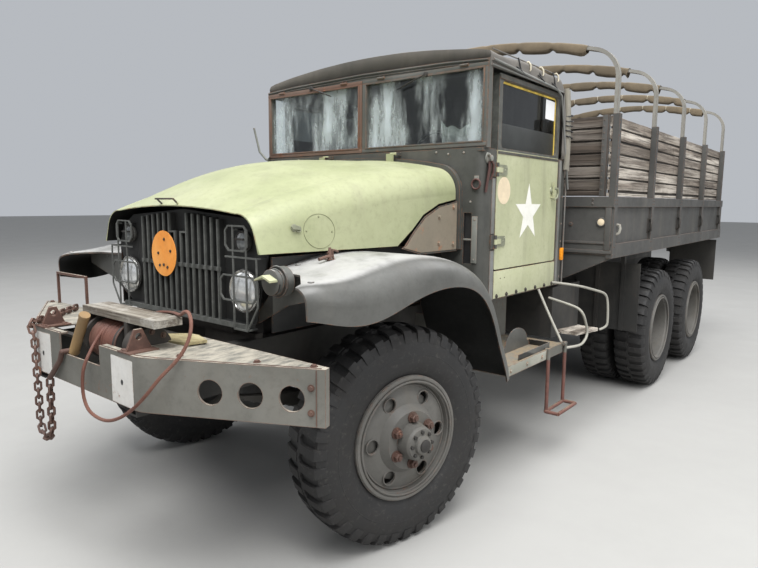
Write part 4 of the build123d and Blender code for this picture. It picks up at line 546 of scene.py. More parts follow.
world = bpy.data.worlds.new("soft_light")
world.use_nodes = True
world.node_tree.nodes["Background"].inputs["Color"].default_value = (0.86, 0.90, 0.96, 1)
world.node_tree.nodes["Background"].inputs["Strength"].default_value = 0.55
bpy.context.scene.world = world
bpy.context.scene.view_settings.view_transform = "Standard"
for name, place, size, power in (("key", (3, -5, 11), 9, 2300), ("side", (10, -3, 5), 8, 420),
                                 ("fill", (-9, -4, 8), 10, 300), ("rear", (3, 9, 10), 9, 700)):
    light = bpy.data.lights.new(name, "AREA")
    light.shape, light.size, light.energy = "DISK", size, power
    lamp = put(name, light)
    lamp.location = place
    lamp.rotation_euler = (Z - Vector(place)).to_track_quat("-Z", "Y").to_euler()

# Wire rope

ROPE = [(60, -936.5, 1026.5), (82, -985, 985), (108, -1030, 938), (112, -1056, 890), (104, -1060, 830),
        (106, -1060, 770), (140, -1060, 722), (205, -1058, 706), (280, -1056, 708), (355, -1054, 732),
        (425, -1050, 768), (490, -1046, 812), (545, -1030, 868), (585, -1004, 928), (622, -958, 984),
        (642, -922, 1046), (640, -902, 1110), (606, -888, 1152), (550, -872, 1146), (490, -850, 1122),
        (430, -824, 1112.4), (360, -796, 1107), (290, -784, 1100), (220, -786, 1092), (150, -800, 1070),
        (110, -830, 1035)]
ROPE_LAY = 0.075          # a strand's way along the rope in one turn


def spline_points(points, steps):
    """The smooth line that a NURBS curve of order 3 takes through its control points."""
    curve = bpy.data.curves.new("line", "CURVE")
    curve.dimensions = "3D"
    spline = curve.splines.new("NURBS")
    spline.points.add(len(points) - 1)
    for point, p in zip(spline.points, points):
        point.co = (*p, 1)
    spline.order_u = 3
    spline.use_endpoint_u = True
    curve.resolution_u = steps
    holder = bpy.data.objects.new("line", curve)
    mesh = bpy.data.meshes.new_from_object(holder)
    line = [v.co.copy() for v in mesh.vertices]
    bpy.data.objects.remove(holder)
    bpy.data.curves.remove(curve)
    bpy.data.meshes.remove(mesh)
    return line


rope_line = spline_points([P(*p) for p in ROPE], 12)
travelled = [0.0]
for a, b in zip(rope_line, rope_line[1:]):
    travelled.append(travelled[-1] + (b - a).length)
rope = Form("rope_strands", "rope_steel", "rope", 60, replaces=["wire_rope"])
rope.tube(rope_line, 0.0045, 8)
for start in circle(6):
    strand = []
    for (p, a, b), way in zip(frames_along(rope_line), travelled):
        angle = way / ROPE_LAY * 2 * pi + start
        strand.append(p + (a * cos(angle) + b * sin(angle)) * 0.0045)
    rope.tube(strand, 0.0025, 6)
rope.done()
tuple(rope_line[0])
[tuple(p) for p in rope_line]

# Tyres, in millimetres from each tyre's middle: across it and out from its axis

TYRE_PROFILE = [(-100, 268), (-104, 292), (-118, 312), (-127, 345), (-129, 376), (-126, 410), (-119, 440),
                (-110, 462), (-104, 476), (-70, 484), (0, 488)]
LUG_LINE = [(10, 488, 503), (50, 486, 502.5), (88, 480, 498), (106, 470, 490), (116, 452, 470), (121, 438, 441)]
LUGS = 38
TYRE_TURNS = 96
AXLE_Z = 503
STEERED = radians(-13)
TWIN = 143                # from the middle of a pair of twin wheels to each


def wheel_point(place, x, radius=0, angle=0.0):
    """A point in millimetres along and around a wheel's axis, local +X outboard."""
    return place @ Vector((x / 1000, radius / 1000 * cos(angle), radius / 1000 * sin(angle)))


def tyre_form(form, place):
    """One tyre with bar tread."""
    def turned(profile):
        form.grid([[wheel_point(place, x, r, a) for x, r in profile] for a in circle(TYRE_TURNS)], close_u=True)

    turned(TYRE_PROFILE + [(-x, r) for x, r in reversed(TYRE_PROFILE[:-1])])
    pitch = 2 * pi / LUGS
    for side in (1, -1):
        for k in range(LUGS):
            centre = (k + (0.5 if side > 0 else 0.0)) * pitch
            strips = []
            for x, inner, outer in LUG_LINE:
                half = 0.29 * pitch * (0.86 + 0.2 * x / 121)
                skew = 0.10 * pitch * (x / 100 - 0.5) * side
                strips.append([wheel_point(place, side * x, r, centre + skew + share * half)
                               for share, r in ((-1, inner), (-0.9, outer), (0.9, outer), (1, inner))])
            form.ends(form.grid(strips))
        # bead ring and a fine rib on the wall
        for x, r, w in ((119, 318, 3), (131, 384, 3.5)):
            turned([(side * (x + dx - 2), r + dr) for dx, dr in ((-3, -w * 1.6), (0, -w * 0.5), (0, w * 0.5),
                                                                 (-3, w * 1.6))])
    # a rib in the middle ties the bars together in a zigzag
    form.grid([[wheel_point(place, x + (9 if i % 2 else -9), r, a)
                for x, r in ((-14, 484), (-12, 500), (12, 500), (14, 484))]
               for i, a in enumerate(circle(LUGS * 2))], close_u=True)


WHEELS = []
for name, side in (("left", 1), ("right", -1)):
    flip = 0 if side > 0 else pi
    place = Matrix.Translation(P(side * 680, 40, AXLE_Z)) @ Matrix.Rotation(STEERED + flip, 4, "Z")
    WHEELS.append((f"front_tyre_{name}", f"front_wheel_{name}", place @ Matrix.Translation((0.180, 0, 0)), (0,)))
    for row, y in (("forward", 3370), ("rearmost", 4589)):
        place = Matrix.Translation(P(side * 894, y, AXLE_Z)) @ Matrix.Rotation(flip, 4, "Z")
        WHEELS.append((f"dual_tyres_{row}_{name}", f"{row}_duals_{name}", place, (-TWIN, TWIN)))

# Each wheel's treads and fittings: lock rings, lips round the hand holes, nuts, hub bolts and cap
for node, body, place, offsets in WHEELS:
    tyre = Form(node + "_tread", "tyre", "tyre", 32, body, [node])
    for offset in offsets:
        tyre_form(tyre, place @ Matrix.Translation((offset / 1000, 0, 0)))
    front = len(offsets) == 1
    outer = offsets[-1]
    out = place.to_3x3() @ X
    rim = Form(node.replace("tyre", "rim") + "_rings", "wheel_paint", "wheel", 40, body)
    rim.ring(wheel_point(place, outer + 117), out, 0.276, 0.009, 8, 64, 0.7)
    rim.ring(wheel_point(place, outer + 121), out, 0.259, 0.0055, 8, 64)
    if front:
        rim.ring(wheel_point(place, 93), out, 0.238, 0.004, 6, 64)
    for a in circle(6):
        rim.ring(wheel_point(place, 104.5 if front else outer - 96, 192, a), out, 0.0335, 0.0035, 6, 24)
    nuts = Form(node.replace("tyre", "wheel_nut") + "_bolts", "rusty_steel", "rust", 30, body)
    for a in circle(6):
        at = wheel_point(place, 143.3 if front else 9.3, 106, a + pi / 6)
        nuts.tube([at, at + out * 0.006], 0.026, 16)
        nuts.tube([at + out * 0.005, at + out * 0.024, at + out * 0.027], [0.020, 0.020, 0.016], 6)
        nuts.tube([at + out * 0.02, at + out * 0.034], 0.0095, 10)
    hub = Form(node + "_hub_bolts", "machinery", "machine", 30, body)
    for a in circle(8):
        hub.bolt(wheel_point(place, *((208.5, 57) if front else (103.5, 56)), a), out, 0.0085, 0.010, washer=False)
    hub.lathe(wheel_point(place, 232 if front else 118), out,
              [(-0.002, 0.028), (0.006, 0.027), (0.010, 0.020), (0.011, 0.0)], 24)

# Where small fittings sit

TREES = {}
LOOK = camera.matrix_world.to_3x3()


def touch(node, start, way):
    """Where a line first meets a CAD node, and the face's outward normal there."""
    if node not in TREES:
        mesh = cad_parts[node].data
        TREES[node] = BVHTree.FromPolygons([v.co for v in mesh.vertices], [p.vertices[:] for p in mesh.polygons])
    at, normal, _, _ = TREES[node].ray_cast(Vector(start), Vector(way).normalized())
    if at is None:
        raise ValueError(f"no face of {node} from {start} along {way}")
    return at, (-normal if normal.dot(Vector(way)) > 0 else normal)


# Lamps: lenses, rims and marker hoods
LAMP_FACE = -504.2
lens = Form("headlamp_lenses", "lamp_paint", "lens", 50)
chrome = Form("headlamp_rims", "lamp_paint", "bright", 40)
dull = Form("marker_rims", "lamp_paint", "dark_steel", 40)
cloudy = Form("marker_lenses", "lamp_paint", "lens_grey", 50)
for side, S in SIDES:
    at = S(464, LAMP_FACE, 1176)
    lens.lathe(at, AHEAD, [(0.0297, 0.0805), (0.0345, 0.071), (0.0390, 0.058), (0.0430, 0.034), (0.0448, 0.012),
                           (0.0450, 0.0)], 48)
    chrome.lathe(at, AHEAD, [(0.015, 0.0925), (0.0275, 0.0935), (0.0330, 0.089), (0.0325, 0.083), (0.0300, 0.081)], 48)
    at = S(459, LAMP_FACE, 1384)
    cloudy.lathe(at, AHEAD, [(0.0255, 0.039), (0.0333, 0.0280), (0.0370, 0.014), (0.0388, 0.0)], 32)
    dull.ring(at + AHEAD * 0.0245, AHEAD, 0.0415, 0.0042, 8, 40)
    dull.plate([(-0.035, -0.004), (0.035, -0.004), (0.030, 0.004), (-0.030, 0.004)],
               at + AHEAD * 0.012 + Z * 0.012, X, Z, 0.034)
hooded = Form("shielded_lamp_fittings", "lamp_paint", "fender", 35)
at = P(712, -592.4, 1241)
hooded.lathe(at, AHEAD, [(-0.004, 0.0515), (0.003, 0.0515), (0.006, 0.047), (0.006, 0.0)], 40)
hooded.ring(at - AHEAD * 0.031, AHEAD, 0.0605, 0.004, 8, 40)
hooded.ring(at - AHEAD * 0.0195, AHEAD, 0.0512, 0.003, 8, 40)
beak = Form("shielded_lamp_beak", "lamp_paint", "door")
beak.plate([(-0.045, -0.004), (0, 0.014), (0.045, -0.004), (0.045, 0.004), (0, 0.022), (-0.045, 0.004)],
           at + AHEAD * -0.004 + Z * 0.010, X, Z, 0.05)

# Grille: tie lugs on the bars, and the blank round plate wired to them
lugs = Form("grille_bar_lugs", "grille_paint", "grille")
for i in range(14):
    x = (i - 6.5) * 47
    lugs.box(P(x - 7.5, -546, 1250), P(x + 7.5, -541.5, 1269), 0.0015)
disc = Form("round_plate", "lamp_paint", "orange_plate")
disc.lathe(P(-105, -548, 1304), AHEAD, [(0, 0.0), (0, 0.1075), (0.0012, 0.109), (0.0028, 0.108), (0.0028, 0.0)], 56,
           wide=0.96)
ties = Form("round_plate_bolts", "machinery", "dark_steel")
for x, z in ((-140, 1246), (-74, 1240), (-150, 1304), (-46, 1318), (-105, 1250), (-96, 1372)):
    ties.bolt(P(x, -551, z), AHEAD, 0.005, 0.004)
    ties.tube([P(x, -551, z), P(x, -538, z)], 0.002, 6)

# Hood: covers, catches and hold-downs on both sides
cover = Form("hood_cover_edges", "hood_paint", "hood_edge", 40, "hood")
catch = Form("hood_catches", "hood_paint", "catch", 30, "hood")
holds = Form("hood_hold_downs", "rusty_steel", "rust", 35)
for side, S in SIDES:
    def on_hood(y, z):
        return touch("hood", S(1200, y, z), (-side, 0, 0))

    loop = []
    for a in circle(48):
        hit, normal = on_hood(-262 + 82 * cos(a), 1428 + 74 * sin(a))
        loop.append(hit + normal * 0.0003)
    cover.tube(loop + loop[:2], 0.0016, 6, caps=False)
    for y, z in ((-330, 1430), (-262, 1490), (-196, 1424)):
        cover.rivet(*on_hood(y, z), 0.005)
    hit, normal = on_hood(-389, 1444)
    catch.lathe(hit - normal * 0.001, normal, [(0, 0.017), (0.004, 0.016), (0.006, 0.010), (0.014, 0.009),
                                               (0.016, 0.0)], 20)
    lever = Vector((0, -side, 0.15))
    catch.plate([(-0.026, -0.007), (0.018, -0.009), (0.024, 0), (0.018, 0.009), (-0.026, 0.007)],
                hit + normal * 0.012, lever, normal.cross(lever), 0.004)
    catch.ring(hit + normal * 0.010 + Vector((0, 0.018, -0.006)), normal, 0.012, 0.003, 6, 20)
    base, normal = touch("front_fenders", S(735, -276, 1800), -Z)
    holds.plate([(-0.030, -0.012), (0.030, -0.012), (0.030, 0.012), (-0.030, 0.012)], base, Y, -X, 0.003)
    for radius, sides, line in (
            ([0.009, 0.008, 0.006], 10, [(0, -12, 0), (0, -10, 30), (-4, -6, 52)]),
            (0.0045, 8, [(0, 12, 0), (0, 8, 22), (-3, 6, 46)]),
            (0.005, 8, [(-4, -20, 30), (-6, 22, 40), (-4, 45, 32)]),
            ([0.007, 0.008, 0.008], 8, [(0, -75, 6), (0, -30, 14), (0, 0, 16)])):
        holds.tube([base + Vector((side * x, y, z)) / 1000 for x, y, z in line], radius, sides)

# Front fenders: bolt heads at the nose, where the photograph shows them, and mirrored on the other side
heads = Form("fender_bolts", "fender_paint", "fender", 40)
for u, v in ((298, 265), (297, 277.5), (311, 282.5)):
    ray = LOOK @ Vector(((u - WIDTH / 2) / FOCAL, (HEIGHT / 2 - v) / FOCAL, -1))
    hit, normal = touch("front_fenders", eye, ray)
    for side, _ in SIDES:
        flip = Vector((side, 1, 1))
        heads.lathe((hit - normal * 0.001) * flip, normal * flip,
                    [(0, 0.0135), (0.003, 0.0125), (0.0055, 0.008), (0.006, 0.0)], 14)

# Bumper: paint patches, seams, bolts and tow bracket heads
patch = Form("bumper_white_patches", "bumper_paint", "white_worn")
hole_shade = Form("bumper_patch_hole_shade", "bumper_paint", "black")
seams = Form("bumper_seams", "rusty_steel", "rust", 40)
bolts = Form("bumper_bolts", "rusty_steel", "rust")
for side, S in SIDES:
    corners = [(0.268, 0.779), (0.427, 0.777), (0.4275, 0.958), (0.425, 0.962), (0.271, 0.965), (0.2685, 0.96)]
    patch.plate([(side * x, z) for x, z in corners][::side], P(0, -1020.2, 0), X, Z, 0.0006)
    # a black disc for the hole in each white patch: painted shade
    hole_shade.lathe(S(347, -1020.9, 868), AHEAD, [(0, 0.0), (0, 0.0105), (0.0006, 0.0105), (0.0006, 0.0)], 20, wide=0.8)
    seams.tube([S(x, y, 985) for x, y in ((176, -1012), (330, -1012), (440, -1006), (520, -978), (640, -916),
                                          (800, -835), (960, -753), (1082, -690))],
               [0.0022, 0.0018, 0.0022, 0.0018, 0.002, 0.0018, 0.0022, 0.002], 6)
    seams.tube([S(1072, -706.5, z) for z in (780, 882, 980)], 0.002, 6)
    for x, y in ((561, -906), (844, -776), (1040, -686), (330, -1000)):
        bolts.bolt(S(x, y, 984), Z, 0.010, 0.007)
    for z in (916, 826):
        bolts.bolt(S(1054, -713.8, z), (side * 330, -640, 0), 0.009, 0.008)
    for y in (-1006, -920):
        bolts.bolt(S(352, y, 984), Z, 0.012, 0.009)
    bolts.plate([(-0.045, -0.060), (0.045, -0.060), (0.045, 0.062), (-0.045, 0.062)], S(370, -962, 984), X, Y, 0.005)
    bolts.ring(S(370, -961, 1040), X, 0.017, 0.0035, 6, 24)

# Winch: rope wound on the drum, a guide roller leaning in the bay, bolts and a second board
DRUM = (-880, 968)        # y and z of the drum's axis
COIL_TURNS, COIL_STEPS = 16, 20


def round_drum(x, radius, angle):
    return P(x, DRUM[0] + radius * sin(angle), DRUM[1] + radius * cos(angle))


wound = Form("winch_wound_rope", "rope_steel", "rope", 60)
coil = []
for k in range(COIL_TURNS * COIL_STEPS + 1):
    r = 81 + 4 * noise.noise(Vector((k / 9, 4, 1)))
    x = -26 + 13.0 * k / COIL_STEPS + 4 * noise.noise(Vector((k / 14, 2, 7)))
    coil.append(round_drum(x, r, 2 * pi * k / COIL_STEPS))
wound.tube(coil, 0.0055, 6)
roller = Form("winch_guide_roller", "rusty_steel", "ochre", 35)
foot, head = P(-118, -988, 902), P(4, -988, 1082)
roller.lathe(foot, head - foot, [(0, 0.0), (0, 0.022), (0.006, 0.0235), (0.011, 0.021), (0.1, 0.0215),
                                 (0.20, 0.0212), (0.206, 0.0235), (0.2175, 0.022), (0.2175, 0.0)], 28)
parts = Form("winch_bolts_and_ribs", "machinery", "rust")
for a in circle(8):
    parts.bolt(round_drum(330, 70, pi / 2 - a), X, 0.009, 0.008)
    parts.bolt(round_drum(-110, 46, pi / 2 - a), -X, 0.007, 0.006)
for x in (-50, 204):
    parts.ring(P(x, *DRUM), X, 0.091, 0.0045, 8, 48)
for x, y in ((9, -826), (118, -828)):
    parts.box(P(x, y, 957.5), P(x + 8, y + 6, 1060), 0.001)
parts.box(P(9, -826, 1052), P(126, -820, 1060), 0.001)
second = Form("winch_second_board", "weathered_wood", "plank_yellow")
second.plate([(0.0, -0.02), (0.03, 0.10), (0.13, 0.150), (0.22, 0.135), (0.372, 0.070), (0.350, -0.004)],
             P(112, -800, 961), (P(475, 0, 990) - P(110, 0, 960)).normalized(), Y, 0.011)

# Cab: strips round the windshield's panes, the header's mouldings and the wipers
for side, name, material in ((1, "left", "window_frame"), (-1, "right", "frame_rusty")):
    form = Form(f"windshield_pane_frame_{name}", "cab_paint", material)
    x0, x1 = sorted((side * 30, side * 846))
    for inset, wide, deep in ((-24, 22, 5), (-2, 7, 9)):
        a0, a1, b0, b1 = x0 - 2 + inset, x1 + 2 - inset, 1882 + inset, 2266 - inset
        for lo, hi in (((a0, b0), (a1, b0 + wide)), ((a0, b1 - wide), (a1, b1)),
                       ((a0, b0 + wide), (a0 + wide, b1 - wide)), ((a1 - wide, b0 + wide), (a1, b1 - wide))):
            form.box(P(max(lo[0], -870), 776.2 - deep, lo[1]), P(min(hi[0], 870), 777, hi[1]), 0.0015)
    for x in (x0 + 120, x1 - 120):
        form.tube([P(x - 26, 768, 2288), P(x + 26, 768, 2288)], 0.007, 8)
        form.rivet(P(x - 16, 776, 2302), AHEAD, 0.007)
        form.rivet(P(x + 16, 776, 2302), AHEAD, 0.007)


def header_z(x):
    """Top edge of the windshield frame."""
    x = abs(x)
    return 2332 - x / 60 if x < 600 else 2322 - (x - 600) * 14 / 274


header = Form("header_moulding", "cab_paint", "cab", 50)
for y, drop, radius in ((774, 9, 0.0055), (775, 25, 0.0035)):
    header.tube([P(x, y, header_z(x) - drop) for x in range(-868, 869, 62)], radius, 8)
wipers = Form("wipers", "cab_paint", "dark_steel", 40)
blades = Form("wiper_blades", "wheel_plastic", "black", 40)
for pivot, tip in (((475, 2270), (268, 2206)), ((-440, 2292), (-262, 2224))):
    a, b = P(pivot[0], 764, pivot[1]), P(tip[0], 764, tip[1])
    wipers.lathe(P(pivot[0], 772, pivot[1]), AHEAD, [(0, 0.015), (0.012, 0.013), (0.016, 0.0)], 16)
    wipers.tube([a, a.lerp(b, 0.5) + AHEAD * 0.006, a.lerp(b, 0.82)], [0.0045, 0.0035, 0.003], 6)
    blades.tube([a.lerp(b, 0.42) - AHEAD * 0.004, b - AHEAD * 0.004], [0.006, 0.004], 6)

# Door fittings, the same on both sides: the window's paint edge, lower half, paper, marks, hinges and handle
DOOR_SKIN = 860
STAR_RADII = (180, 70)
for (side, S), body in zip(SIDES, ("door_left", "door_right")):
    out = side * X
    trim = Form(f"{body}_window_edge", "cab_paint", "yellow", 30, body)
    for lo, hi in (((961, 2212), (1707, 2224)), ((961, 2000), (970, 2212)), ((1698, 1860), (1707, 2212))):
        trim.box(S(841.5, *lo), S(846, *hi), 0.0006)
    # the window's lower half is a dark plate of painted shade
    lower = Form(f"{body}_window_lower", "glass", "shade_panel", 30, body)
    lower.box(S(841.2, 962, 1861), S(843.4, 1706, 1998), 0.0008)
    paper = Form(f"{body}_window_paper", "lamp_paint", "paper", 30, body)
    paper.side_plate(side, 844.6, 0.0006, [(1556, 2084), (1690, 2082), (1692, 2200), (1557, 2203)])
    star = Form(f"{body}_star", "cab_paint", "white", 30, body)
    star.side_plate(side, DOOR_SKIN + 0.1, 0.0006,
                    [(1335 + r * sin(a), 1494 + r * cos(a)) for r, a in zip(STAR_RADII * 5, circle(10))])
    spot = Form(f"{body}_round_mark", "cab_paint", "cream", 30, body)
    spot.lathe(S(DOOR_SKIN + 0.1, 1012, 1625), out, [(0, 0.0), (0, 0.077), (0.0007, 0.0765), (0.0007, 0.0)], 48)
    iron = Form(f"{body}_fittings", "cab_paint", "catch", 40, body)
    for z in (1338, 1738):
        iron.side_plate(side, DOOR_SKIN, 0.004, [(925, z - 30), (1030, z - 30), (1040, z - 18), (1040, z + 18),
                                                 (1030, z + 30), (925, z + 30)])
        for y, dz in ((965, 14), (965, -14), (1012, 0), (1030, 16)):
            iron.rivet(S(864, y, z + dz), out, 0.006)
    iron.tube([S(862, 1664, 1640), S(884, 1668, 1652), S(890, 1690, 1650), S(888, 1706, 1622), S(886, 1696, 1592),
               S(884, 1660, 1578)], [0.010, 0.009, 0.008, 0.008, 0.007, 0.005], 10)
    iron.lathe(S(DOOR_SKIN, 1664, 1640), out, [(0, 0.022), (0.004, 0.021), (0.008, 0.014), (0.012, 0.0)], 20)
    weather = Form(f"{body}_weather_strip", "cab_paint", "cab", 30, body)
    weather.box(S(859.5, 924, 2228), S(866, 1746, 2250), 0.002)
    weather.box(S(859.5, 926, 1826), S(862.5, 1744, 1842), 0.001)

# Cab sides: sill panels, cowl fittings, markers, straps and edge strips
sill = Form("sill_panels", "cab_paint", "door")
sill_bolts = Form("sill_bolts", "cab_paint", "machine")
cowl = Form("cowl_fittings", "cab_paint", "trim_grey", 35)
straps = Form("cowl_straps", "wheel_plastic", "strap", 50)
intake_shade = Form("cowl_intake_shade", "cab_paint", "black")
marker = Form("side_markers", "lamp_paint", "orange", 40)
pillar = Form("pillar_strips", "cab_paint", "cab_pale")
panel = Form("hood_side_panels", "cab_paint", "rusty_panel")
for side, S in SIDES:
    out = side * X
    sill.box(S(859.5, 921, 1012), S(862, 1758, 1170), 0.001)
    for y in (958, 1080, 1205, 1332, 1470, 1606, 1722):
        sill_bolts.bolt(S(862, y, 1024), out, 0.009, 0.007)
    for y in (1000, 1050):
        sill_bolts.rivet(S(862, y, 1124), out, 0.004)
    # cover plate and bar beside the air inlet, black plates inside the inlet as painted shade, and a ring on the cowl
    cowl.box(S(804, 757, 1226), S(838, 762.5, 1482), 0.002)
    cowl.box(S(752, 758, 1350), S(804, 764, 1360), 0.001)
    for z in (1244, 1464):
        cowl.rivet(S(821, 757, z), AHEAD, 0.006)
    intake_shade.box(S(752.6, 774.4, 1220.6), S(799.4, 775.8, 1499.4))
    for low, high in ((752.4, 753.2), (798.8, 799.6)):
        intake_shade.box(S(low, 763.5, 1220.6), S(high, 775.6, 1499.4))
    straps.ring(S(826, 755, 1655), AHEAD, 0.026, 0.0055, 8, 28)
    cowl.box(S(812, 756, 1676), S(840, 762.5, 1700), 0.002)
    for x, z in ((640, 1822), (740, 1826), (560, 1834), (790, 1560)):
        cowl.rivet(S(x, 762, z), AHEAD, 0.007)
    cowl.lathe(S(860, 817, 1795), out, [(0, 0.030), (0.008, 0.028), (0.012, 0.017), (0.026, 0.016), (0.030, 0.0)], 24)
    cowl.tube([S(872, 817, 1798), S(880, 790, 1812), S(884, 768, 1816)], 0.007, 8)
    run = [S(868, 818, 1786), S(874, 810, 1740), S(870, 802, 1690), S(866, 796, 1640), S(863, 794, 1612)]
    for proud in (0.0, 0.003):
        straps.grid([[p + Vector((side * proud, w, 0)) for w in (-0.013, 0.0, 0.013)] for p in run])
    straps.tube([S(870, 826, 1788), S(880, 846, 1760), S(876, 850, 1716), S(866, 838, 1680)],
                [0.008, 0.007, 0.006, 0.004], 8)
    marker.box(S(859.5, 1838, 1172), S(876, 1876, 1256), 0.006)
    for y0, y1, z0, z1, x1 in ((1768, 1800, 1010, 1838, 866), (1884, 1896, 1010, 1838, 866),
                               (866, 908, 1010, 1290, 865), (866, 900, 1384, 1690, 865)):
        pillar.box(S(859.5, y0, z0), S(x1, y1, z1), 0.0015)
    for z in (1060, 1300, 1420, 1600, 1780):
        pillar.rivet(S(860, 1846, z), out, 0.007)
    # the triangular panel in the hood's cut-away
    panel.side_plate(side, 722.2, 0.0015, [(258, 1330), (282, 1344), (348, 1408), (436, 1476), (568, 1530), (735, 1556),
                                           (735, 1300), (400, 1300)])
    for y, z in ((560, 1340), (560, 1480), (700, 1330), (700, 1530)):
        panel.bolt(S(723.7, y, z), out, 0.009, 0.007)
mirror = Form("mirror_arm", "cab_paint", "trim_grey", 50)
mirror.tube([P(-862, 776, 1842), P(-905, 772, 1852), P(-950, 752, 1905), P(-950, 704, 2067)],
            [0.009, 0.009, 0.008, 0.007], 10)
mirror.lathe(P(-862, 776, 1842), -X, [(-0.002, 0.026), (0.006, 0.024), (0.012, 0.012), (0.014, 0.0)], 20)

# Soft top: one canvas sheet from the front valance over the roof and down the rear, with its side flaps

TOP_HALF_WIDTH = 873
FLAP_FOOT, REAR_FOOT = 2268, 1846
REAR_TOP, REAR_SLOPE = (1767, 2294), (126, -434)       # y and z where the rear curtain starts, and its way down
# rows: y, crown z, fall from the crown to the eave, foot of the side flap
TOP_ROWS = [(793, 2422, 70, FLAP_FOOT), (810, 2427, 74, FLAP_FOOT), (850, 2431, 80, FLAP_FOOT),
            (900, 2435, 86, FLAP_FOOT)]
TOP_ROWS += [(950 + 48 * i, 2440 + 11 * sin(pi * min(1, i / 12)), 92, FLAP_FOOT) for i in range(16)]
TOP_ROWS += [(1706, 2437, 92, FLAP_FOOT), (1735, 2412, 84, FLAP_FOOT), (1752, 2366, 58, FLAP_FOOT),
             (1762, 2318, 26, FLAP_FOOT)]
TOP_ROWS += [(REAR_TOP[0] + REAR_SLOPE[0] * t / 10, REAR_TOP[1] + REAR_SLOPE[1] * t / 10, 16 - 12 * t / 10, REAR_FOOT)
             for t in range(11)]


def top_row(y, crown, fall, foot, hem=False):
    """Points across the sheet from one flap's foot to the other's; the hem follows the windshield's header."""
    half_width, eave = TOP_HALF_WIDTH, crown - fall
    bend = min(18, (eave - foot) * 0.5)
    half = [(half_width, foot + (eave - bend - foot) * k / 7) for k in range(8)]
    half += [(half_width - bend * (1 - cos(a)), eave - bend + bend * sin(a)) for a in (0.5, 1.0, 1.45)]
    flat = [(half_width - bend) * (1 - k / 22) for k in range(1, 23)]
    half += [(x, crown - fall * (x / half_width) ** 2) for x in flat]
    if hem:
        half = half[:8] + [(x, header_z(x) + 3) for x, z in half[8:]]
    return [P(x, y, z) for x, z in half + [(-x, z) for x, z in half[-2::-1]]]


canvas = Form("cab_top_canvas", "canvas", "canvas", 50, replaces=["cab_top"])
rows = [top_row(789.3, *TOP_ROWS[0][1:], hem=True)] + [top_row(*row) for row in TOP_ROWS]
grid = canvas.grid(rows)
canvas.bm.normal_update()
for i, row in enumerate(grid):
    for j, v in enumerate(row):
        hold = min(1.0, min(i, len(grid) - 1 - i, j, len(row) - 1 - j) / 4)
        p = v.co
        loose = noise.noise(Vector((p.x * 2.2, p.y * 3.1, p.z * 2.2))) * 0.007
        loose += noise.noise(Vector((p.x * 9, p.y * 7, p.z * 9))) * 0.0030
        ribs = 0.0035 * cos((p.y - DATUM / 1000 - 0.79) * 2 * pi / 0.30) if p.z > 2.36 else 0.0
        v.co = p + (Z * hold * (loose + ribs) if p.z > 2.34 else v.normal * hold * loose * 0.6)
canvas_piece = canvas.done()
cloth = canvas_piece.modifiers.new("cloth", "SOLIDIFY")
cloth.thickness = 0.0025
cloth.offset = 0

# Seams, side rails, rear window, ties and rolled edges of the soft top
rails = Form("top_side_rails", "cab_paint", "cab_pale", 50)
hems = Form("top_seams", "canvas", "canvas", 50)
ties = Form("top_ties", "sleeve_canvas", "lashing", 50)
black_ties = Form("top_black_ties", "wheel_plastic", "black", 50)
rolls = Form("top_edge_rolls", "canvas", "pale_canvas", 50)
for side, S in SIDES:
    rails.tube([S(880, 800, 2306), S(882, 1200, 2288), S(881, 1642, 2268)], 0.0085, 8)
    rails.tube([S(877, 800, 2279), S(878, 1200, 2273), S(877, 1740, 2266)], 0.0055, 8)
    rails.tube([S(878, 1650, 2268), S(880, 1712, 2240), S(879, 1780, 2030), S(876, 1893, 1650)], 0.007, 8)
    hems.tube([S(858, y, 2367 - max(0, y - 1500) * 0.02) for y in range(830, 1700, 60)], 0.004, 6)
    for y in (1242, 1416, 1640):
        ties.tube([S(852, y - 10, 2362), S(868, y, 2368), S(879, y + 6, 2352), S(880, y + 10, 2326),
                   S(878, y + 3, 2316)], [0.004, 0.006, 0.006, 0.005, 0.003], 8)
    for y, z0, z1 in ((1114, 2366, 2292), (1392, 2330, 2290), (1590, 2364, 2276)):
        black_ties.tube([S(872, y - 10, z0), S(880, y, (z0 + z1) / 2), S(886, y + 6, z1)], 0.0045, 8)
        black_ties.tube([S(876, y - 34, z1 + 22), S(888, y, z1 + 6), S(886, y + 40, z1 - 6)], 0.0035, 8)
    # a rolled flap along the rear corner, tied in the middle
    roll = [S(872, 1806, 2300), S(876, 1822, 2180), S(878, 1830, 2060), S(879, 1834, 1930), S(874, 1838, 1780)]
    rolls.tube(spline_points(roll, 8), 0.017, 12)
    rolls.tube(spline_points([p + Vector((side * 0.004, 0.024, -0.01)) for p in roll], 8), 0.012, 10)
    for k, z in enumerate((1990, 2030, 2064, 2096, 2130)):
        black_ties.ring(S(878, 1842, z), (0.15 * side, 0.25 - 0.12 * k, 1), 0.030, 0.0045, 6, 20)
rise = -Vector((0, *REAR_SLOPE)).normalized()
middle = P(0, 1828, 2086)
rear_out = rise.cross(X)
# the rear window is a dark plate of painted shade
window = Form("top_rear_window", "glass", "shade_panel")
window.plate([(-0.25, -0.085), (0.25, -0.085), (0.25, 0.085), (-0.25, 0.085)], middle + rear_out * 0.009,
             -X, rise, 0.002)
edge = Form("top_rear_window_edge", "canvas", "pale_canvas", 50)
loop = [middle + rear_out * 0.011 - X * a + rise * b for a, b in
        ((-0.26, -0.085), (-0.25, -0.095), (0.25, -0.095), (0.26, -0.085), (0.26, 0.085), (0.25, 0.095),
         (-0.25, 0.095), (-0.26, 0.085))]
edge.tube(loop + loop[:2], 0.006, 8)

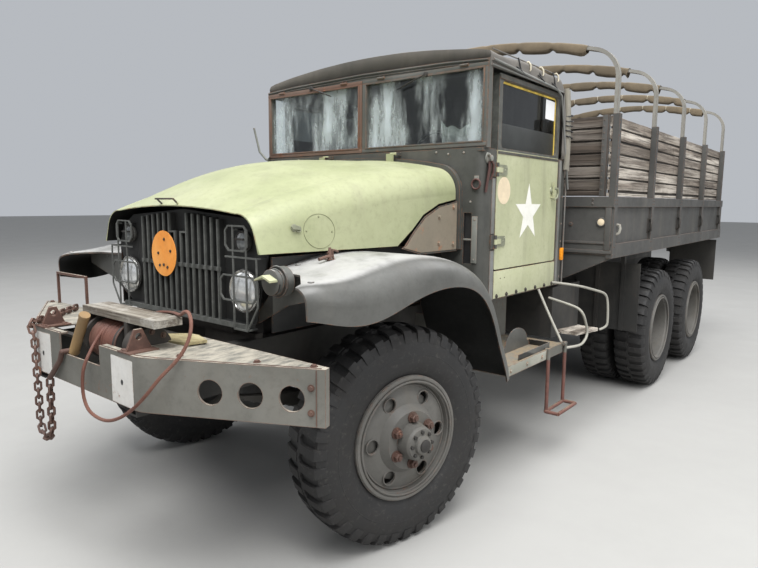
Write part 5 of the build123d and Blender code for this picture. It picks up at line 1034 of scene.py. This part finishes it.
# Cargo bows' canvas sleeves, gathered at their lashings
BOW_X, BOW_Z, BOW_TOP = 965.0, 2594.0, 2724.0
BOW_RADIUS = (BOW_X ** 2 + (BOW_TOP - BOW_Z) ** 2) / (2 * (BOW_TOP - BOW_Z))
SLEEVE_STATIONS, SLEEVE_SIDES = 91, 16
FIRST_POST, LAST_POST = 2075, 5640
POSTS = [FIRST_POST + i * (LAST_POST - FIRST_POST) / 4 for i in range(5)]


def bow_point(radius, angle, y):
    return P(radius * sin(angle), y, BOW_TOP - BOW_RADIUS + radius * cos(angle))


sleeves = Form("bow_sleeve_canvas", "sleeve_canvas", "sleeve", 60, replaces=["bow_sleeves"])
lashes = Form("bow_lashings", "sleeve_canvas", "lashing", 60)
half_angle = asin(902 / BOW_RADIUS)
for i, y in enumerate(POSTS):
    rows = []
    for k in range(SLEEVE_STATIONS):
        a = half_angle * (2 * k / (SLEEVE_STATIONS - 1) - 1)
        arc = a * BOW_RADIUS
        pinch = exp(-((((arc + i * 37) % 262) - 131) / 20) ** 2)
        swell = 1 - 0.17 * pinch
        droop = (30 + 22 * noise.noise(Vector((arc / 300, i * 3, 5)))) * (1 - 0.75 * pinch)
        row = []
        for b in circle(SLEEVE_SIDES):
            c, s = cos(b), sin(b)
            out_y = 33 * copysign(abs(c) ** 0.75, c) * swell
            out_r = (7 if s > 0 else -13) + (13 if s > 0 else 15 + droop) * copysign(abs(s) ** 0.75, s)
            crease = 2.2 * noise.noise(Vector((arc / 60 + i * 7, c * 2, s * 2)))
            row.append(bow_point(BOW_RADIUS - 12 + out_r * swell + crease, a, y + out_y + crease))
        rows.append(row)
        if pinch > 0.97 and abs(arc) < 860:
            middle = bow_point(BOW_RADIUS - 14, a, y)
            loop = [p + (p - middle) * 0.06 for p in row]
            lashes.tube(loop + loop[:2], 0.003, 6, caps=False)
    sleeves.grid(rows, close_v=True)
sleeve_piece = sleeves.done()

# Cargo bed and rack: bolts, tie-down hooks, corner angles, boards, wall strips, reflectors and tail lamps
RACK_X = 1087.7           # middle of a side board's thickness
COURSES = [BOARD_FOOT + BOARD_PITCH * k + 38 for k in range(6)]        # heights of the boards' middle lines
rack_bolts = Form("rack_board_bolts", "bed_paint", "rust", 35)
bed_bolts = Form("bed_bolts", "bed_paint", "bed", 35)
hooks = Form("bed_tie_down_hooks", "bed_paint", "machine", 40)
front_hooks = Form("bed_front_hooks", "bed_paint", "pale_steel", 40)
corners = Form("rack_corner_angles", "bed_paint", "bed", 35)
reflectors = Form("bed_reflectors", "lamp_paint", "cream", 50)
rings = Form("bed_reflector_rims", "bed_paint", "bed", 50)
gate = Form("tailgate_bolts", "bed_paint", "bed", 35, "tailgate")
tail = Form("tail_lamp_lenses", "lamp_paint", "red_lens", 50)
for side, S in SIDES:
    out = side * X
    for y in POSTS:
        for z in COURSES:
            for dy, dz in ((-11, -12), (11, 12)):
                rack_bolts.rivet(S(1144, y + dy, z + dz), out, 0.0055)
                rack_bolts.rivet(S(1075.6, y + dy + 14, z + dz), -out, 0.008)
        for z in (1555, 1580, 1210, 1262):
            for dy in (-18, 18):
                bed_bolts.rivet(S(1146, y + dy, z), out, 0.0055)
    for y in [post - 62 for post in POSTS[1:]]:
        hooks.tube([S(1128, y + 22, 1432), S(1148, y + 16, 1440), S(1158, y - 2, 1424), S(1158, y - 12, 1392),
                    S(1154, y, 1352), S(1136, y + 14, 1338)], 0.0085, 8)
        hooks.box(P(side * 1126 - 4, y - 8, 1330), P(side * 1126 + 4, y + 40, 1446), 0.001)
        bed_bolts.rivet(S(1131, y + 28, 1345), out, 0.007)
    front_hooks.tube([S(1127, 2168, 1412), S(1146, 2172, 1410), S(1152, 2166, 1386), S(1148, 2160, 1358),
                      S(1130, 2158, 1346)], 0.010, 8)
    corners.box(P(side * 1058 - 20, 2036, 1606), P(side * 1058 + 20, 2041, 2146), 0.001)
    corners.box(P(side * 1076 - 2.5, 2036, 1606), P(side * 1076 + 2.5, 2074, 2146), 0.001)
    for k in range(12):
        corners.rivet(S(1050, 2036, 1650 + 42 * k), AHEAD, 0.006)
    at = S(1062, 2045, 1432)
    reflectors.lathe(at, AHEAD, [(-0.002, 0.026), (0.006, 0.024), (0.009, 0.012), (0.010, 0.0)], 28)
    rings.ring(at + AHEAD * 0.004, AHEAD, 0.028, 0.005, 8, 28)
    gate.tube([S(1120, 5766, 1560), S(1120, 5800, 1560), S(1120, 5798, 1540)], 0.008, 8)
    tail.lathe(S(640, 5764, 1040), Y, [(0.0, 0.040), (0.005, 0.037), (0.009, 0.022), (0.011, 0.0)], 28)
for x in (-380, 380):
    for z in COURSES:
        for dx in (-11, 11):
            rack_bolts.rivet(P(x + dx, 2036, z), AHEAD, 0.008)
for x in (-1000, -700, -250, 250, 700, 1000):
    for z in (1555, 1585):
        bed_bolts.rivet(P(x, 2034, z), AHEAD, 0.009)
for x in (-850, 850, -430, 430):
    bed_bolts.bolt(P(x, 2046, 1414), AHEAD, 0.011, 0.008)
for x in (-700, -235, 235, 700):
    for z in (1280, 1575):
        for dx in (-16, 16):
            gate.rivet(P(x + dx, 5802.6, z), Y, 0.011)


def board(form, start, run, length, high, seed, thick=0.0235):
    """One worn board with softened, slightly uneven edges, its middle line from start along run."""
    face = run.cross(Z)
    steps = max(12, int(length / 0.06))
    rows = []
    for k in range(steps + 1):
        s = k / steps * length
        row = []
        for a, b in ((-1, -0.5), (-0.93, -1), (0.93, -1), (1, -0.5), (1, 0.5), (0.93, 1), (-0.93, 1), (-1, 0.5)):
            wear = 0.0022 * noise.noise(Vector((s * 6, a * 2 + seed, b)))
            wear += 0.0012 * noise.noise(Vector((s * 23, a, b + seed)))
            end = 0.004 * noise.noise(Vector((seed, a * 3, b))) if k in (0, steps) else 0.0
            row.append(start + run * (s + end) + Z * (a * high / 2 + wear)
                       + face * (b * (thick / 2 - 0.0008) + wear * 0.2))
        rows.append(row)
    form.ends(form.grid(rows, close_v=True))


SIDE_BOARD, CROSS_BOARD = 3.633, 2.078         # lengths in metres
long_boards = Form("rack_side_boards", "weathered_wood", "board_y", 50, replaces=["rack_boards"])
# the front boards take the darker copy of the wood, painted shade
cross_boards = Form("rack_front_boards", "weathered_wood", "board_x_shaded", 50, replaces=["rack_boards"])
# strips behind the boards' gaps, near-black as painted shade
gap_shade_strips = Form("rack_board_gap_shade_strips", "weathered_wood", "gap_shade")
for side, S in SIDES:
    for k, z in enumerate(COURSES):
        board(long_boards, S(RACK_X, 2067, z), Y, SIDE_BOARD, 0.071, k + side * 20)
    board(long_boards, S(RACK_X, 2067, 1620), Y, SIDE_BOARD, 0.022, side * 90)
    gap_shade_strips.box(S(RACK_X - 4, 2070, 1612), S(RACK_X + 4, 5697, 2140))
for k, z in enumerate(COURSES):
    board(cross_boards, P(-1039, 2084, z), X, CROSS_BOARD, 0.072, k + 50)
board(cross_boards, P(-1039, 2084, 1628), X, CROSS_BOARD, 0.036, 70)
gap_shade_strips.box(P(-1036, 2080, 1612), P(1036, 2088, 2140))
wall = Form("bed_front_wall_strips", "bed_paint", "bed")
for z0, z1 in ((1282, 1298), (1216, 1240)):
    wall.box(P(-1140, 2038, z0), P(1140, 2047, z1), 0.001)
for x in (-1110, 1110, -640, 640, 0):
    wall.box(P(x - 20, 2036, 1240), P(x + 20, 2047, 1540), 0.0015)

# Steps: bent tubes beside the left step, a board on them, peeling edges and a round-topped shield
guards = Form("step_guard_tubes", "bumper_paint", "pale_steel", 50)
for points in (
        [(862, 1730, 1030), (1000, 1800, 1018), (1070, 1990, 968), (1100, 2118, 934), (1108, 2140, 860),
         (1110, 2150, 740), (1106, 2146, 690), (1070, 2100, 676)],
        [(862, 1690, 930), (1000, 1700, 900), (1090, 1705, 870), (1100, 1770, 760), (1100, 1796, 700),
         (1098, 1740, 650), (1090, 1654, 638), (1052, 1530, 646)],
        [(862, 1525, 1004), (905, 1526, 916), (1000, 1529, 738), (1048, 1530, 648)]):
    guards.tube(spline_points([P(*p) for p in points], 6), 0.0085, 10)
rest = Form("step_board", "weathered_wood", "board_y")
rest.plate([(0.0, 0.0), (0.34, -0.02), (0.345, 0.12), (0.01, 0.135)], P(950, 1640, 712),
           Vector((0.10, 1, -0.06)).normalized(), Vector((1, -0.06, 0)).normalized(), -0.022)
shield = Form("step_shields", "bumper_paint", "fender")
worn = Form("step_worn_edges", "bumper_paint", "peeling")
arch = [(918, 682), (1338, 682), (1318, 712)]
arch += [(1153 + 145 * cos(a), 717 + 95 * sin(a)) for a in [pi * k / 12 for k in range(13)]] + [(918, 727)]
for side, S in SIDES:
    shield.side_plate(side, 900, 0.004, arch)
    shield.box(P(side * 1036 - 1.5, 914, 682), P(side * 1036 + 1.5, 1330, 716), 0.0008)
    shield.box(P(side * 968 - 68, 1327, 682), P(side * 968 + 68, 1330, 716), 0.0008)
    shield.box(P(side * 790 - 90, 901, 682), P(side * 790 + 90, 905, 790), 0.002)
    worn.box(P(side * 1049.4 - 1.2, 768, 624), P(side * 1049.4 + 1.2, 1260, 681), 0.0005)
    for y in (800, 1000, 1200):
        worn.bolt(S(1050.4, y, 650), side * X, 0.008, 0.006)

# Cloth lying on the dashboard behind the left pane
cloth = Form("dash_cloth", "sleeve_canvas", "white_cloth", 60)
rows = []
for t in [i / 13 for i in range(14)]:
    row = []
    for s in [j / 21 for j in range(22)]:
        peak = 2026 - 46 * sin(pi * s) ** 0.7 - 20 * sin(3 * pi * s) ** 2
        z = 1852 + (peak - 1852) * (1 - t) + 10 * noise.noise(Vector((s * 4, t * 3, 1)))
        y = 826 + 26 * t + 14 * noise.noise(Vector((s * 5, t * 4, 3))) + 6 * sin(s * 17 + t * 3)
        row.append(P(540 + 270 * s, y, z))
    rows.append(row)
cloth.grid(rows)
cloth_piece = cloth.done()

for form in list(Form.waiting):
    form.done()

# Seat cushions: swollen covers from a cloth simulation, with sewn channels


def swell(piece):
    """Blows the cover up a little by a cloth simulation, and keeps the move small."""
    cloth = piece.modifiers.new("cloth", "CLOTH")
    cloth.settings.use_pressure = True
    cloth.settings.uniform_pressure_force = 4.0
    cloth.settings.effector_weights.gravity = 0.0
    cloth.settings.quality = 5
    for f in range(1, 21):
        bpy.context.scene.frame_set(f)
    swollen = bpy.data.meshes.new_from_object(piece.evaluated_get(bpy.context.evaluated_depsgraph_get()))
    piece.modifiers.clear()
    bpy.context.scene.frame_set(1)
    for v, s in zip(piece.data.vertices, swollen.vertices):
        move = s.co - v.co
        v.co += move * min(1.0, 0.013 / max(move.length, 1e-9))
    bpy.data.meshes.remove(swollen)


def seam_loop(a0, a1, b0, b1, at_side, at_foot, at_top, inset=0.020):
    """A rectangle with cut corners, as pairs."""
    return [(a0 + inset, b0 + at_foot), (a1 - inset, b0 + at_foot), (a1 - at_side, b0 + inset),
            (a1 - at_side, b1 - inset), (a1 - inset, b1 - at_top), (a0 + inset, b1 - at_top),
            (a0 + at_side, b1 - inset), (a0 + at_side, b0 + inset)]


def cushion(name, low, high, lying):
    """A crowned pad in the space of one CAD cushion, lying or leaning."""
    start = Form(name, "cushion", "cushion", 70, replaces=["seat_cushions"])
    start.box(low + Vector((0.012, 0.012, 0.004)), high - Vector((0.012, 0.012, 0.014)), 0.018)
    piece = start.done()
    remesh = piece.modifiers.new("voxels", "REMESH")
    remesh.mode = "VOXEL"
    remesh.voxel_size = 0.012
    piece.data = bpy.data.meshes.new_from_object(piece.evaluated_get(bpy.context.evaluated_depsgraph_get()))
    piece.modifiers.clear()
    swell(piece)
    channels = max(3, round((high.x - low.x) / 0.11))
    for v in piece.data.vertices:
        share = (v.co.x - low.x) / (high.x - low.x)
        groove = 0.007 * exp(-((share * channels + 0.5) % 1 - 0.5) ** 2 / 0.004)
        if lying and v.co.z > (low.z + high.z) / 2:
            v.co.z -= groove + 0.004 * noise.noise(v.co * 9)
        if not lying and v.co.y < (low.y + high.y) / 2:
            v.co.y += groove + 0.003 * noise.noise(v.co * 9)
        v.co = Vector([min(max(c, a), b) for c, a, b in zip(v.co, low, high)])
    piece.data.materials.clear()
    piece.data.materials.append(M["cushion"])
    piece.data.shade_smooth()
    smooth = piece.modifiers.new("subdivision", "SUBSURF")
    smooth.levels = smooth.render_levels = 1
    seam = Form(name + "_piping", "cushion", "cushion", 60)
    if lying:
        loop = [Vector((x, y, high.z - 0.022)) for x, y in seam_loop(low.x, high.x, low.y, high.y, 0.004, 0.004, 0.004)]
    else:
        loop = [Vector((x, low.y + 0.016, z)) for x, z in seam_loop(low.x, high.x, low.z, high.z, 0.006, 0.006, 0.012)]
    seam.tube(loop + loop[:2], 0.0035, 6, caps=False)
    seam.done()


for name, x0, x1 in (("driver", 200, 660), ("passenger", -760, 60)):
    cushion(f"{name}_seat_pad", P(x0, 1320, 1330.3), P(x1, 1788, 1430), lying=True)
    cushion(f"{name}_back_pad", P(x0, 1712, 1440), P(x1, 1811.7, 1790), lying=False)
